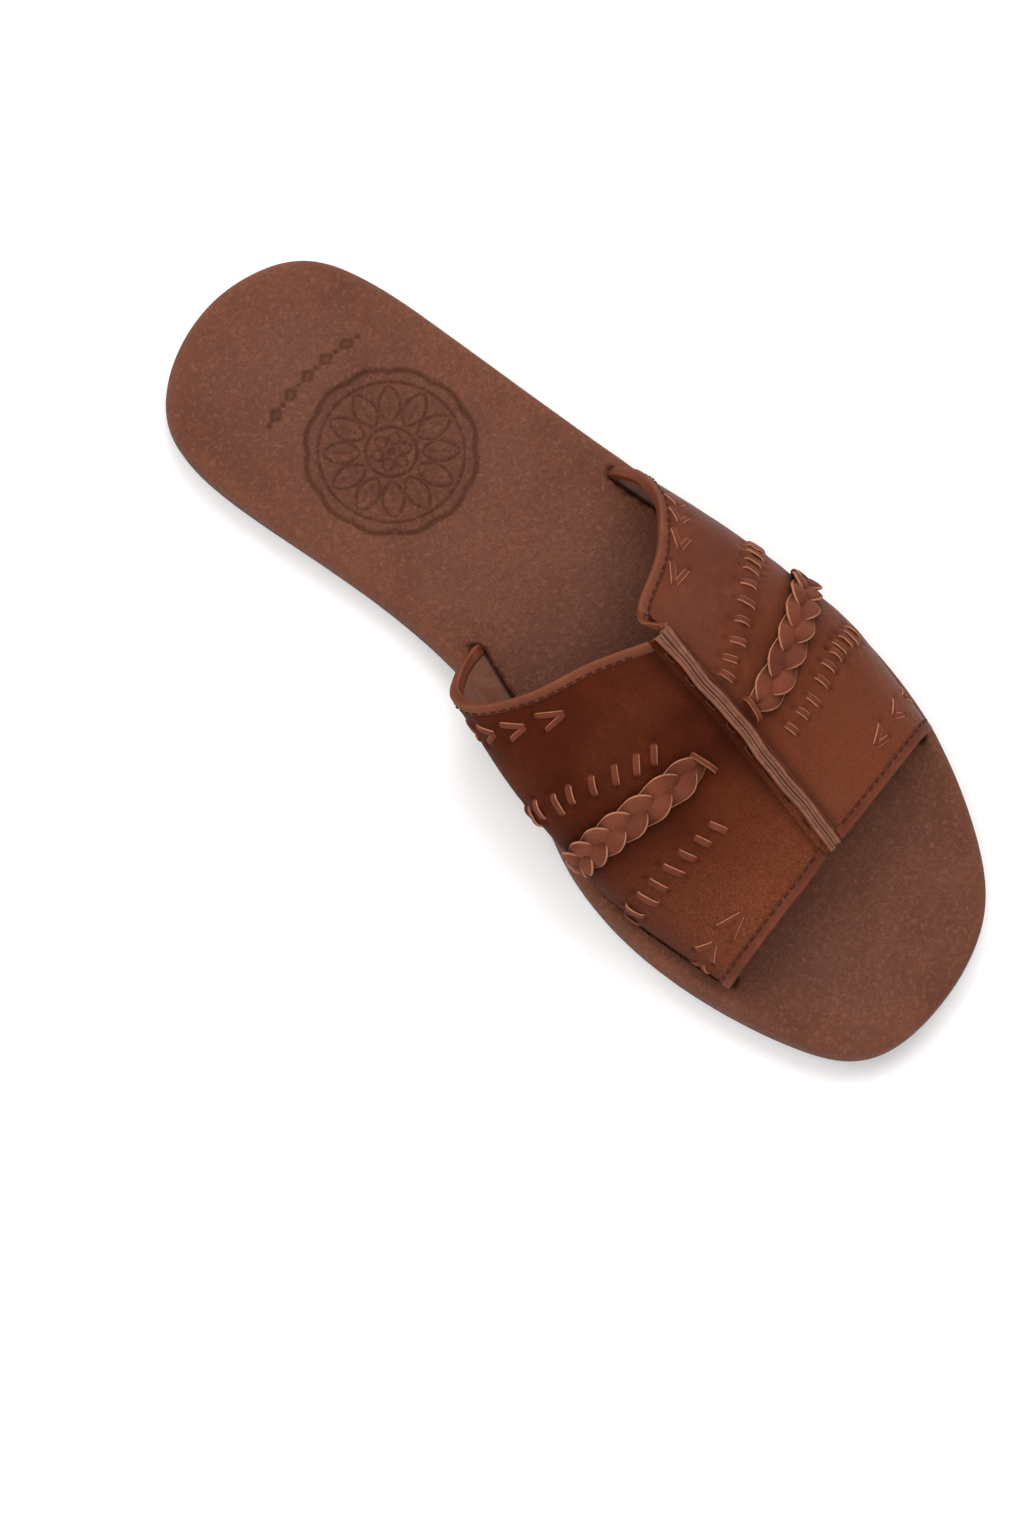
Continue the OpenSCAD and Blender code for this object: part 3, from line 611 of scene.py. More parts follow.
def hex_points(lo, hi, step):
    """Points in rows, every other row shifted by half a step."""
    xs = np.arange(lo[0], hi[0], step)
    ys = np.arange(lo[1], hi[1], step * 0.866)
    return np.vstack([np.stack([xs + step / 2 * (k % 2), np.full(len(xs), y)], 1) for k, y in enumerate(ys)])


def trim(pts, ring, loops, off_ring, off_loops):
    """The points inside ring and outside the loops, at least those distances from them."""
    pts = pts[inside(pts, ring)]
    pts = pts[away(pts, ring) > off_ring]
    for loop in loops:
        pts = pts[~inside(pts, loop)]
        pts = pts[away(pts, loop) > off_loops]
    return pts


def turn(loop):
    """Twice the area inside a loop, above 0 where it runs anticlockwise."""
    x, y = loop[:, 0], loop[:, 1]
    return np.sum(x * np.roll(y, -1) - np.roll(x, -1) * y)


def cap(ring, loops, extra):
    """Triangles inside ring and outside the loops. Returns points (ring, loops, then extra) and faces."""
    pts = np.vstack([ring, *loops, extra])
    edges, start = [], 0
    for loop in [ring, *loops]:
        m = len(loop)
        edges += [(start + i, start + (i + 1) % m) for i in range(m)]
        start += m
    found, _, faces, sources, _, _ = delaunay_2d_cdt([Vector(p) for p in pts.tolist()], edges, [], 0, 1e-7)
    order = np.array([source[0] if source else -1 for source in sources])
    if (order < 0).any() or len(found) != len(pts):
        raise RuntimeError("cap: points were merged")
    tris = np.array([order[list(f)] for f in faces if len(f) == 3])
    mid = pts[tris].mean(1)
    keep = inside(mid, ring)
    for loop in loops:
        keep &= ~inside(mid, loop)
    tris = tris[keep]
    a, b, c = (pts[tris[:, k]] for k in range(3))
    area = (b[:, 0] - a[:, 0]) * (c[:, 1] - a[:, 1]) - (b[:, 1] - a[:, 1]) * (c[:, 0] - a[:, 0])
    tris[area < 0] = tris[area < 0][:, ::-1]
    return pts, tris


# ---------- ornament pressed in the heel
ROSE = np.array([2.5, 66.5])  # middle of a plain rosette
ROW_OFF, ROW_PITCH, LOZENGES = 28.5, 6.4, 5  # a row of lozenges behind it
ROW_CURVE = 130  # the row bends forward by x * x / ROW_CURVE


def ornament(p):
    """0 to 1: how deep the heel is pressed at each point."""
    q = p - ROSE
    r = np.hypot(q[:, 0], q[:, 1])
    th = np.arctan2(q[:, 1], q[:, 0])

    def groove(d, w):
        return 1 - smooth(w * 0.45, w, np.abs(d))

    def petals(count, inner, outer, half, power, w):
        """Outlined petals between two radii, and each point's distance from its petal's middle."""
        arc = np.abs((th / (2 * math.pi) * count) % 1 - 0.5) * 2 * math.pi * r / count
        edge = half * np.sin(math.pi * np.clip((r - inner) / (outer - inner), 0, 1)) ** power
        return np.where((r > inner) & (r < outer), groove(arc - edge, w), 0), arc

    big, from_middle = petals(12, 7.6, 17.2, 2.75, 0.75, 0.5)
    small, _ = petals(6, 1.8, 5.4, 1.5, 1, 0.4)
    x = q[:, 0]
    y = q[:, 1] - (ROW_OFF - x * x / ROW_CURVE)
    k = np.round(x / ROW_PITCH)
    lozenge = np.abs(x - k * ROW_PITCH) / 2.5 + np.abs(y) / 2.0
    lozenge = 0.9 * (1 - smooth(0.75, 1.05, lozenge)) - 0.5 * (1 - smooth(0.3, 0.5, lozenge))
    between = np.floor(x / ROW_PITCH) + 0.5
    dot = 0.8 * (1 - smooth(0.45, 0.85, np.hypot(x - between * ROW_PITCH, y)))
    return np.clip(np.max([
        groove(r - (20.6 + 0.9 * np.abs(np.cos(6 * th))), 0.8),  # scalloped border
        groove(r - 18.2, 0.45),
        big,
        np.where((r > 9.2) & (r < 14.5), 0.7 * groove(from_middle, 0.4), 0),  # their veins
        groove(r - 6.4, 0.55),
        small,
        1 - smooth(0.9, 1.4, r),
        0.32 * (1 - smooth(21.4, 22.2, r)),  # the whole rosette lies a little lower
        np.where(np.abs(k) <= LOZENGES // 2, lozenge, 0),
        np.where(np.abs(between) <= LOZENGES / 2, dot, 0)], 0), 0, 1)


def bends(o, slot_name, *nodes):
    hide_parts(*nodes)
    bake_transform(o)


def rides(o, slot_name, *nodes):
    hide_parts(*nodes)
    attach(o, "sandal")


def rim_rings(n, profile, keep, loops):
    """Rings of n points through the profile's (inset, z).
    In its upper half, insets past keep shrink where a slot is close."""
    q, inward = rim_line(n)
    scale = np.ones(n)
    if loops:
        room = np.min([away(q, loop) for loop in loops], 0) - keep - 0.35
        scale = np.clip(room / max(profile[-1][0] - keep, 0.1), 0.12, 1)
        for _ in range(6):
            scale = np.minimum(scale, 0.25 * np.roll(scale, 1) + 0.5 * scale + 0.25 * np.roll(scale, -1))
    middle = (profile[0][1] + profile[-1][1]) / 2
    rings = []
    for w, z in profile:
        inset = np.full(n, float(w))
        if z > middle and w > keep:
            inset = keep + (w - keep) * scale
        rings.append(np.column_stack([q + inset[:, None] * inward, np.full(n, z)]))
    return rings


def plate(profile, n, step, slots, keep=0.0, shrink=(1, 1)):
    """Points and faces of a closed plate, whose profile runs from the bottom's edge to the top's edge."""
    loops = [slot_loop(s, 0.0, 40) for s in (-1, 1)] if slots else []
    rings = [r * [*shrink, 1] for r in rim_rings(n, profile, keep, loops)]
    verts, faces = list(rings), bands(n, len(rings))
    count = n * len(rings)
    starts = []  # each face's first point past its ring
    for top, ring, z in ((False, rings[0], profile[0][1]), (True, rings[-1], profile[-1][1])):
        lattice_points = hex_points(ring.min(0)[:2], ring.max(0)[:2], step)
        extra = trim(lattice_points, ring[:, :2], loops, 0.6 * step, 0.5 * step)
        pts, tris = cap(ring[:, :2], loops, extra)
        new = pts[n:]
        ids = np.concatenate([np.arange(n) + top * n * (len(rings) - 1), count + np.arange(len(new))])
        verts.append(np.column_stack([new, np.full(len(new), z)]))
        tris = ids[tris]
        faces += (tris if top else tris[:, ::-1]).tolist()
        starts.append(count)
        count += len(new)
    first = 0
    for loop in loops:
        a = np.arange(len(loop))
        b = np.roll(a, -1)
        lo, hi = (start + first for start in starts)
        wall = [lo + b, lo + a, hi + a, hi + b] if turn(loop) > 0 else [lo + a, lo + b, hi + b, hi + a]
        faces += np.stack(wall, 1).tolist()
        first += len(loop)
    return np.vstack(verts), faces


def layer(name, plates, mat):
    verts, faces, count = [], [], 0
    for v, f in plates:
        verts.append(v)
        faces += [[i + count for i in face] for face in f]
        count += len(v)
    return make(name, np.vstack(verts), faces, [mat])


CORE_INSET = 1.45  # the board and the foam lie this far in from the rim
GAP = 0.02
REBATE_Z = BOARD_LOW + 1.4  # the board is rebated below this for the cover's lip and the strap's tails
outsole = plate([(1.6, 0.0), (1.0, 0.25), (0.75, 0.8), (0.7, 2.2), (0.7, BOARD_LOW - 0.05)], 360, 3.0, False)
bends(layer("outsole", [outsole], M_RUBBER), "outsole_rubber", "outsole_toe", "outsole_rear")
core = plate([(CORE_INSET, BOARD_LOW + GAP), (CORE_INSET, REBATE_Z - GAP)], 160, 5.0, False,
             shrink=(0.45, 0.86))
board = plate([(CORE_INSET, REBATE_Z), (CORE_INSET, BOARD_TOP)], 300, 4.0, True)
bends(layer("insole_board", [core, board], M_BOARD), "board", "insole_board_toe", "insole_board_rear")
pad = plate([(CORE_INSET, BOARD_TOP + GAP), (1.5, FOAM_TOP - 1.9), (2.0, FOAM_TOP - 1.0),
             (3.0, FOAM_TOP - 0.4), (4.6, FOAM_TOP - 0.12)], 300, 4.0, True, CORE_INSET)
foam = layer("foam_pad", [pad], M_FOAM)
bends(foam, "foam", "foam_pad_toe", "foam_pad_rear")

# The cover's edge as (inset, z), from the lip tucked under the board to the top
COVER_EDGE = [(inset, BOARD_LOW + z) for inset, z in (
    (4.3, 0.05), (1.6, 0.03), (0.7, 0.12), (0.2, 0.5), (0.0, 1.2), (-0.05, 2.6), (0.0, 4.0), (0.06, 5.0),
    (0.26, 5.9), (0.62, 6.65))]
COVER_EDGE += [(inset, TOP - z) for inset, z in (
    (1.12, 1.15), (1.75, 0.66), (2.5, 0.32), (3.4, 0.11), (4.4, 0.02))]
SLIT_GROW = 0.4
SLIT_LIP = [(0.2, -0.07), (0.06, -0.28), (0.0, -0.75), (-0.06, -1.9)]  # (growth, z from the top) down a slit


def top_points(ring):
    """Points for the footbed's top: a coarse lattice, and a fine one under the pressed ornament."""
    coarse = hex_points(ring.min(0), ring.max(0), 1.7)
    rose = hex_points(ROSE - 23, ROSE + 23, 0.46)
    row = hex_points(ROSE + [-17.5, 23.0], ROSE + [17.5, 31.5], 0.5)
    fine = np.vstack([rose, row])
    fine = fine[(np.hypot(*(fine - ROSE).T) < 22.6) | (fine[:, 1] > ROSE[1] + 23.2)]
    x, y = (coarse - ROSE).T
    close = (np.hypot(x, y) < 23.4) | ((np.abs(x) < 18.6) & (np.abs(y - 27.3) < 5.4))
    return np.vstack([coarse[~close], fine])


def point_normals(verts, faces):
    tri = []
    for f in faces:
        tri += [f] if len(f) == 3 else [[f[0], f[1], f[2]], [f[0], f[2], f[3]]]
    tri = np.array(tri)
    across = np.cross(verts[tri[:, 1]] - verts[tri[:, 0]], verts[tri[:, 2]] - verts[tri[:, 0]])
    out = np.zeros_like(verts)
    for k in range(3):
        np.add.at(out, tri[:, k], across)
    return unit(out)


def footbed():
    n = 520
    rim = rim_line(n)[0]
    loops = [slot_loop(s, SLIT_GROW) for s in (-1, 1)]
    rings = rim_rings(n, COVER_EDGE, 0.0, loops)
    faces = bands(n, len(rings))
    ring = rings[-1][:, :2]
    pts, tris = cap(ring, loops, trim(top_points(ring), ring, loops, 1.0, 0.9))
    new = pts[n:]
    start = n * len(rings)
    ids = np.concatenate([np.arange(n) + start - n, start + np.arange(len(new))])
    faces += ids[tris].tolist()
    verts = np.vstack(rings + [np.column_stack([new, np.full(len(new), TOP)])])
    for s, loop in zip((-1, 1), loops):  # the slits' rolled lips
        m = len(loop)
        prev = start + np.arange(m)
        for grow, dz in SLIT_LIP:
            nxt = len(verts) + np.arange(m)
            verts = np.vstack([verts, np.column_stack([slot_loop(s, grow), np.full(m, TOP + dz)])])
            b, c = np.roll(prev, -1), np.roll(nxt, -1)
            faces += np.stack([b, prev, nxt, c] if turn(loop) > 0 else [prev, b, c, nxt], 1).tolist()
            prev = nxt
        start += m
    # the hide's unevenness, the pressed ornament and the sunken slits
    xy, z = verts[:, :2], verts[:, 2]
    slit = np.min([away(xy, line) for line in SLOT_LINE.values()], 0)
    edge = away(xy, rim)
    press = ornament(xy)
    level = np.column_stack([xy, np.zeros(len(xy))])
    soft = waves(level, (0.13, 31, 2), (0.07, 11, 4), (0.03, 4, 8))
    dent = soft * smooth(1, 8, edge) - 0.75 * press * (edge > 3) - 0.25 * bell(slit, 2.4)
    z += dent * smooth(TOP - 4, TOP - 1.0, z)
    xy[:, 0] += np.where((z > BOARD_LOW + 0.3) & (z < TOP - 1.5), 0.12 * noise(verts, 13, 6), 0)
    # painted shade and light on the hide: painted shade at the slits, under the strap and low on the side;
    # darker in the pressed ornament, partly its own tone and partly painted shade; a rubbed rim with a
    # painted highlight; a painted greyish sheen away from the rim
    left, right = (np.interp(xy[:, 1], *SLOT_LINE[s][::-1, ::-1].T) for s in (-1, 1))
    covered = (xy[:, 0] > left) & (xy[:, 0] < right)
    under = np.where(covered, smooth(8, -14, xy[:, 1]) * smooth(-86, -70, xy[:, 1]), 0)
    tucked = 1 - smooth(3.2, 5.2, z)
    cavity = np.clip(0.2 * bell(slit, 1.1) + 0.42 * press + 0.25 * under + 0.5 * tucked, 0, 1)
    wear = np.clip(0.10 * bell(edge - 1.5, 1.3) * (z > TOP - 3) * (0.6 + 0.4 * noise(verts, 9, 12)), 0, 1)
    cast = np.clip(0.55 * smooth(4, 22, edge) * (0.55 + 0.45 * noise(level, 26, 14)), 0, 1)
    # an inner skin, joined to the outer one at the open edges
    thick = np.where(z > TOP - 0.5, COVER - 0.1, COVER - 0.15) * np.where(slit < 2.4, 0.35, 1.0)
    inner = verts - point_normals(verts, faces) * thick[:, None]
    m = len(verts)
    edges = dict.fromkeys((a, b) for f in faces for a, b in zip(f, f[1:] + f[:1]))
    joins = [[b, a, a + m, b + m] for a, b in edges if (b, a) not in edges]
    faces += [[i + m for i in f[::-1]] for f in faces] + joins
    none = np.zeros(m)
    # the inner skin gets painted shade all over
    return make("footbed_cover", np.vstack([verts, inner]), faces, [M_FOOTBED],
                cavity=[*cavity, *(none + 0.3)], wear=[*wear, *none], cast=[*cast, *none])


bends(footbed(), "footbed_leather", "footbed_cover_toe", "footbed_cover_rear")


# ---------- strap panels and linings
TAIL_COLUMNS, SEAM_BEND, SEAM_RISE = 8, (18, 36, 54, 72, 90), (0.25, 0.5, 0.75, 1.0)
BEND_R = 1.3  # of the strap where it turns under the board


def seam_wave(v):
    """How far the centre seam wanders sideways."""
    return 0.26 * np.sin(2 * math.pi * (2.6 * v + 0.1)) + 0.1 * np.sin(2 * math.pi * (6.1 * v + 0.35))


def strap_grid(side, nv, nu):
    """Joint of leather and lining as a grid whose columns run tail, slot, foot, seam.
    Returns it with its outward normals, where the foot's columns start and end, and their u and v."""
    v = np.linspace(0, 1, nv)
    us = np.linspace(0, 1, nu)
    out = out_dir(side, v)
    base = surf(side, 0, v) * [1, 1, 0]
    cols = [base + TAIL_Z * UP - d * out for d in np.linspace(13, BEND_R, TAIL_COLUMNS)]
    centre = base + (TAIL_Z + BEND_R) * UP - BEND_R * out
    cols += [centre + BEND_R * (math.sin(a) * out - math.cos(a) * UP) for a in np.radians([22, 45, 67])]
    cols += [base + h * UP for h in np.linspace(TAIL_Z + BEND_R, 11.4, 6)]
    first = len(cols)
    cols += [surf(side, u, v) for u in us]
    last = len(cols)
    wave = seam_wave(v)[:, None] * ACROSS
    closer = (SEAM_R + 0.2 - 0.3 * bell(v, 0.07))[:, None] * -side * ACROSS
    foot = cols[-1]
    for a in np.radians(SEAM_BEND):
        rise = SEAM_R * (1 - math.cos(a)) * UP_SEAM
        cols.append(foot + closer * math.sin(a) + rise + wave * math.sin(a) * 0.3)
    top = foot + closer + SEAM_R * UP_SEAM
    tall = SEAM_H + 0.15 * np.sin(2 * math.pi * 3.3 * v + 1)[:, None]
    cols += [top + f * tall * UP_SEAM + wave * (0.3 + 0.7 * f) for f in SEAM_RISE]
    g = np.stack(cols, 1)
    for _ in range(5):  # soften the turn into the seam
        mid = g[:, last - 7:-3].copy()
        g[:, last - 6:-4] = 0.25 * mid[:, :-2] + 0.5 * mid[:, 1:-1] + 0.25 * mid[:, 2:]
    n = unit(side * np.cross(np.gradient(g, axis=1), np.gradient(g, axis=0)))
    return g, n, first, last, us, v


def sheet(name, side, h0, h1, nv, nu, mats, slot_name):
    """One leather sheet of the strap, between the heights h0 and h1, skived thinner where it stands up."""
    g, n, a, b, us, v = strap_grid(side, nv, nu)
    wide = g.shape[1]
    flare = 1 + 0.3 * bell(v, 0.08)
    skive = 1 - 0.24 * smooth(0, 4, np.arange(wide) - b)
    skive = np.where(skive < 1, np.minimum(skive * flare[:, None], 1), 1.0)
    d = np.zeros(g.shape[:2])
    d[:, a:b] = relief(side, g[:, a:b]) * smooth(1.0, 0.93, us)
    outer = g + (h1 * skive + d)[..., None] * n
    inner = g + (h0 * skive + d)[..., None] * n
    # the raw edge on top of the seam: two more rows across it, frayed
    ridge = 0.07 * noise(g[:, -1], 6, 77)[:, None]
    top_o, top_i = outer[:, -1].copy(), inner[:, -1].copy()
    fray = 0.03 * noise(top_o, 1.6, 21)[:, None]
    outer[:, -1] -= 0.32 * UP_SEAM
    inner[:, -1] -= 0.32 * UP_SEAM
    edge_o = top_o * 0.8 + top_i * 0.2 + (fray + ridge) * UP_SEAM
    edge_i = top_o * 0.2 + top_i * 0.8 + (fray * 0.6 + ridge) * UP_SEAM
    rings = np.concatenate([outer, edge_o[:, None], edge_i[:, None], inner[:, ::-1]], 1)
    verts, faces, place = tube(rings, strip=True)
    raw = (place == -1) | ((place >= wide - 1) & (place <= wide + 1))
    if side > 0:
        faces = [f[::-1] for f in faces]
    # painted shade, highlight, sheen and light on the leather
    u_out = np.concatenate([np.zeros(a), us, np.ones(wide - b)])
    u_at = np.tile(np.concatenate([u_out, [1, 1], u_out[::-1]]), nv)
    v_at = np.repeat(v, rings.shape[1])
    # painted shade: darker at the holes, round the stitches, along the braid, low by the footbed and by the
    # seam
    holes = np.minimum(1.3 * near(verts, HOLES[side], 0.8), 1)
    pulled = np.minimum(near(verts, MIDS[side], 2.6), 1)
    line = np.minimum(near(verts, BRAID_LINE[side], 4.6), 1)
    low = 1 - smooth(11.5, 14.5, verts[:, 2])
    seam = bell(1 - u_at, 0.035) * (u_at < 0.999)
    # painted shade on the medial side, low and towards the rear
    shade = 0.16 * smooth(0.5, 0.1, u_at) * smooth(0.75, 0.4, v_at) * (side < 0)
    cavity = np.clip(0.9 * holes + 0.1 * pulled + 0.3 * line + 0.7 * low + 0.45 * seam + shade, 0, 1)
    wear = 0.12 * np.maximum(noise(verts, 13, 31), 0) * smooth(0.2, 0.6, u_at)
    # painted sheen where the strap turns down towards the footbed, weaker on the medial side
    turned = 1.2 * smooth(0.5, 0.14, u_at) * (0.7 + 0.5 * noise(verts, 12, 33))
    cast = np.clip(turned + 0.15 * np.maximum(noise(verts, 19, 35), 0), 0, 1) * (0.35 if side < 0 else 1)
    # painted light: lighter towards the front and away from the footbed, with random unevenness
    fade = np.clip(smooth(0.5, 0.95, v_at) * smooth(0.1, 0.4, u_at) + 0.25 * noise(verts, 14, 37), 0, 1)
    o = make(name, verts, faces, mats, raw, cavity=cavity, wear=wear, cast=cast, fade=fade)
    rides(o, slot_name, name)


for word, side in SIDES.items():
    sheet("vamp_panel_" + word, side, 0.0, PANEL, 190, 170, [M_VAMP[word], M_RAW], "vamp_leather")
    sheet("vamp_lining_" + word, side, -LINING, -0.02, 110, 100, [M_LINING, M_RAW], "lining_suede")


# ---------- edges of the strap
def edge_frame(side, front, us, w):
    """Points and normals w mm in from the rear or the front edge, with the relief there, at each u."""
    steps = np.linspace(0, 0.1, 41)
    vs = 1 - steps if front else steps
    pts = surf(side, us[:, None], vs[None])
    walk = np.cumsum(np.linalg.norm(np.diff(pts, axis=1), axis=2), 1)
    length = np.concatenate([np.zeros((len(us), 1)), walk], 1)
    s = np.array([np.interp(w, row, steps) for row in length])
    v = 1 - s if front else s
    p = surf(side, us, v)
    return p, normal(side, us, v), relief(side, p) * smooth(1.0, 0.93, us)


def binding(name, side, front, mat):
    """Thin leather folded round an edge of the strap."""
    us = np.linspace(0.0, 1.0, 120)
    hi, lo = PANEL + 0.03, -LINING - 0.03

    def at(w, h):
        p, n, d = edge_frame(side, front, us, w)
        return p + (h + d)[:, None] * n

    p0, n0, d0 = edge_frame(side, front, us, 0.0)
    past = unit(p0 - edge_frame(side, front, us, 0.5)[0])
    past = unit(past - (past * n0).sum(-1, keepdims=True) * n0)
    ws = np.linspace(BIND_WIDTH, 0.2, 9)
    lifts = BIND * (0.3 + 0.7 * smooth(BIND_WIDTH, BIND_WIDTH - 1.1, ws))
    lifts[0] = 0.02
    rings = [at(w, hi + lift) for w, lift in zip(ws, lifts)]
    mid, rad = (hi + lo) / 2, (hi - lo) / 2 + BIND
    for a in np.radians(np.linspace(78, -78, 11)):
        rise = rad * math.copysign(abs(math.sin(a)) ** 0.8, a)
        rings.append(p0 + (mid + d0 + rise)[:, None] * n0 + (0.5 * rad * math.cos(a) ** 0.6 - 0.1) * past)
    rings += [at(w, lo - BIND * (0.4 if w == ws[0] else 1.0)) for w in ws[::-1]]
    rings += [at(BIND_WIDTH - 0.1, lo), at(0.1, lo)]
    rings += [p0 + (h + d0)[:, None] * n0 + 0.03 * past for h in (lo, hi)]
    rings += [at(0.1, hi), at(BIND_WIDTH - 0.1, hi)]
    verts, faces, _ = tube(np.stack(rings, 1))
    if (side < 0) == front:
        faces = [f[::-1] for f in faces]
    r = np.tile(np.arange(len(rings)), len(us))
    # the fold's outer face is rubbed and painted lighter as a highlight; the rear binding also gets a thin
    # painted highlight line on its lining side
    rub = (0.14 if front else 0.22) * bell(r - 9.5, 2.5)
    lip = 0.0 if front else 0.4 * bell(r - 18, 1.1)
    wear = np.clip((rub + lip) * (0.75 + 0.4 * noise(verts, 7, 41)), 0, 1)
    # painted shade along the binding's inner border
    cavity = 0.4 * (r < 1) + 0.2 * (np.abs(r - 2) < 1)
    rides(make(name, verts, faces, [mat], cavity=cavity, wear=wear), "binding_leather", name)


for word, side in SIDES.items():
    binding("rear_binding_" + word, side, False, M_BIND)
    binding("front_binding_" + word, side, True, M_FRONT)


# ---------- cords and laces
# Sections, as (across, up) between -1 and 1, and which of their faces are cut edges
ROUND = np.array([[math.cos(a), math.sin(a)] for a in np.linspace(0, 2 * math.pi, 6)[:-1]])
STRAP = np.array([[-1, -0.5], [-0.85, -0.95], [-0.3, -1], [0.3, -1], [0.85, -0.95], [1, -0.5], [1, 0.15],
                  [0.74, 0.8], [0.3, 1], [-0.3, 1], [-0.74, 0.8], [-1, 0.15]])
STRAP_EDGES = (4, 5, 6), (0, 10, 11)
RIBBON = np.array([[-1, -0.2], [-0.9, -0.7], [-0.4, -1], [0.4, -1], [0.9, -0.7], [1, -0.2], [0.98, 0.2],
                   [0.88, 0.5], [0.5, 0.86], [0, 1], [-0.5, 0.86], [-0.88, 0.5], [-0.98, 0.2]])
RIBBON_EDGES = (5, 6, 11, 12, 0)


def sweep(path, up, width, thick, section):
    """Rings of a section that many mm wide and thick, along a path with its upward directions."""
    d = unit(np.gradient(path, axis=0))
    b = unit(np.cross(d, up))
    n = np.cross(b, d)
    width = np.broadcast_to(width, len(path))[:, None, None]
    across = width / 2 * section[None, :, :1] * b[:, None]
    return path[:, None] + across + thick / 2 * section[None, :, 1:] * n[:, None]


def settle(side, u, v, h):
    """Points h above the strap's joint, on its relief."""
    p = surf(side, u, v)
    return p + (h + relief(side, p))[..., None] * normal(side, u, v)


def resample(path, up, step):
    """Even spacing along a path, on a smooth curve: points, upward directions, and the share of the way."""
    s = along(path)
    t = np.linspace(0, s[-1], max(3, int(s[-1] / step) + 1))
    q = at_lengths(t, s, path)
    for _ in range(3):
        q[1:-1] = 0.25 * q[:-2] + 0.5 * q[1:-1] + 0.25 * q[2:]
    return q, unit(at_lengths(t, s, up)), t / s[-1]


def lace(name, side, groups, width, puff):
    """Strokes of one lace, each diving into the leather at both ends."""
    verts, faces, index, wear, cavity = [], [], [], [], []
    count = 0
    t = np.linspace(0, 1, 13)
    dive = 1.2 * (bell(t, 0.06) + bell(1 - t, 0.06))
    height = PANEL + LACE * 0.32 + puff * np.sin(math.pi * t) ** 0.8 - dive
    for a, b in [stroke for g in groups for stroke in zip(g[:-1], g[1:])]:
        u = a[0] + (b[0] - a[0]) * t
        v = a[1] + (b[1] - a[1]) * t
        q, w, f = resample(settle(side, u, v, height), normal(side, u, v), 0.35)
        wide = width * (0.6 + 0.4 * np.sin(math.pi * f) ** 0.5)
        vs, fs, place = tube(sweep(q, w, wide, LACE, STRAP))
        verts.append(vs)
        faces += [[i + count for i in face] for face in fs]
        # on medial laces the lighter edge goes on the side facing the key light, as a painted highlight;
        # lateral laces get it on both edges
        lit = np.cross(q[-1] - q[0], w[0])[0] > 0
        bright = STRAP_EDGES if side > 0 else STRAP_EDGES[0 if lit else 1]
        index.append(np.isin(place, bright))
        # painted shade: dark holes at each end of a stroke
        ends = np.repeat(bell(f, 0.1) + bell(1 - f, 0.1), len(STRAP))
        cavity.append(np.clip(0.6 * ends, 0, 1))
        wear.append(np.clip(0.22 * (1 - ends) * (0.8 + 0.4 * noise(vs, 3, 51)), 0, 1))
        count += len(vs)
    o = make(name, np.vstack(verts), faces, [M_LACE, M_LACE_EDGE], np.concatenate(index),
             cavity=np.concatenate(cavity), wear=np.concatenate(wear))
    rides(o, "lace_leather", name)


for name, groups in STITCHES.items():
    lace(name, ROW_SIDE[name], groups, 1.8, 0.22)
for name, groups in STROKES.items():
    lace(name, ROW_SIDE[name], groups, 1.5, 0.06)

BRAID_THICK, TIE_WIDTH, TIE_THICK = 1.25, 1.3, 0.55
LOBES, HALF, LIFT = 7.5, 2.3, 0.5  # of the braid: crossings, half its width between strands' middles, rise


def strand(side, t, j):
    """One strand of a flat braid of three: its middle line, the way its face looks, how far it lies on top,
    and how wide the braid is open."""
    u, v = braid_route(side, t)
    turned = 2 * math.pi * (LOBES / 3 * t + j / 3)
    q = surf(side, u, v)
    n = normal(side, u, v)
    ahead = unit(np.gradient(q, axis=0))
    opened = np.minimum(smooth(-0.06, 0.12, t), smooth(1.06, 0.88, t))
    low = 1.25 * (1 - smooth(0, 0.14, t)) + 1 - smooth(0, 0.06, 1 - t)
    over = -np.sin(2 * turned)
    swing = np.tanh(1.5 * np.sin(turned)) / math.tanh(1.5)
    h = PANEL + BRAID_THICK + LIFT * over * opened - 1.6 * low + relief(side, q) * 0.6
    p = q + h[:, None] * n + (HALF * opened * swing)[:, None] * np.cross(n, ahead)
    d = unit(np.gradient(p, axis=0))
    lean = unit(ahead - (ahead * d).sum(-1, keepdims=True) * d)
    return p, unit(n - (0.16 * np.clip(over + 0.3, 0, 1))[:, None] * lean), over, opened


for word, side in SIDES.items():
    for j in range(3):
        p, face, over, opened = strand(side, np.linspace(0, 1, 260), j)
        wide = (4.1 + 0.7 * over) * (0.45 + 0.55 * opened)
        vs, fs, place = tube(sweep(p, face, wide, BRAID_THICK, RIBBON))
        name = "braid_strand_%s_%d" % (word, j + 1)
        # painted shade where a strand lies under the others
        o = make(name, vs, fs, [M_BRAID, M_LACE_EDGE], np.isin(place, RIBBON_EDGES),
                 cavity=np.repeat(np.clip(0.35 - 0.6 * over, 0, 0.8), len(RIBBON)),
                 wear=np.clip(0.1 + 0.15 * noise(vs, 4, 61 + j), 0, 1))
        rides(o, "lace_leather", name)
    for end, (u, v, du, dv, arch) in TIES[side].items():
        t = np.linspace(-1, 1, 25)
        us, vs = u + du * t, v + dv * t
        h = PANEL + arch * (1 - np.abs(t) ** 3) - 0.9 * np.abs(t) ** 8
        q, w, _ = resample(settle(side, us, vs, h), normal(side, us, vs), 0.35)
        verts, faces, place = tube(sweep(q, w, TIE_WIDTH, TIE_THICK, STRAP))
        name = "braid_tie_%s_%s" % (word, end)
        o = make(name, verts, faces, [M_LACE, M_LACE_EDGE], np.isin(place, STRAP_EDGES),
                 wear=np.full(len(verts), 0.2))
        rides(o, "lace_leather", name)


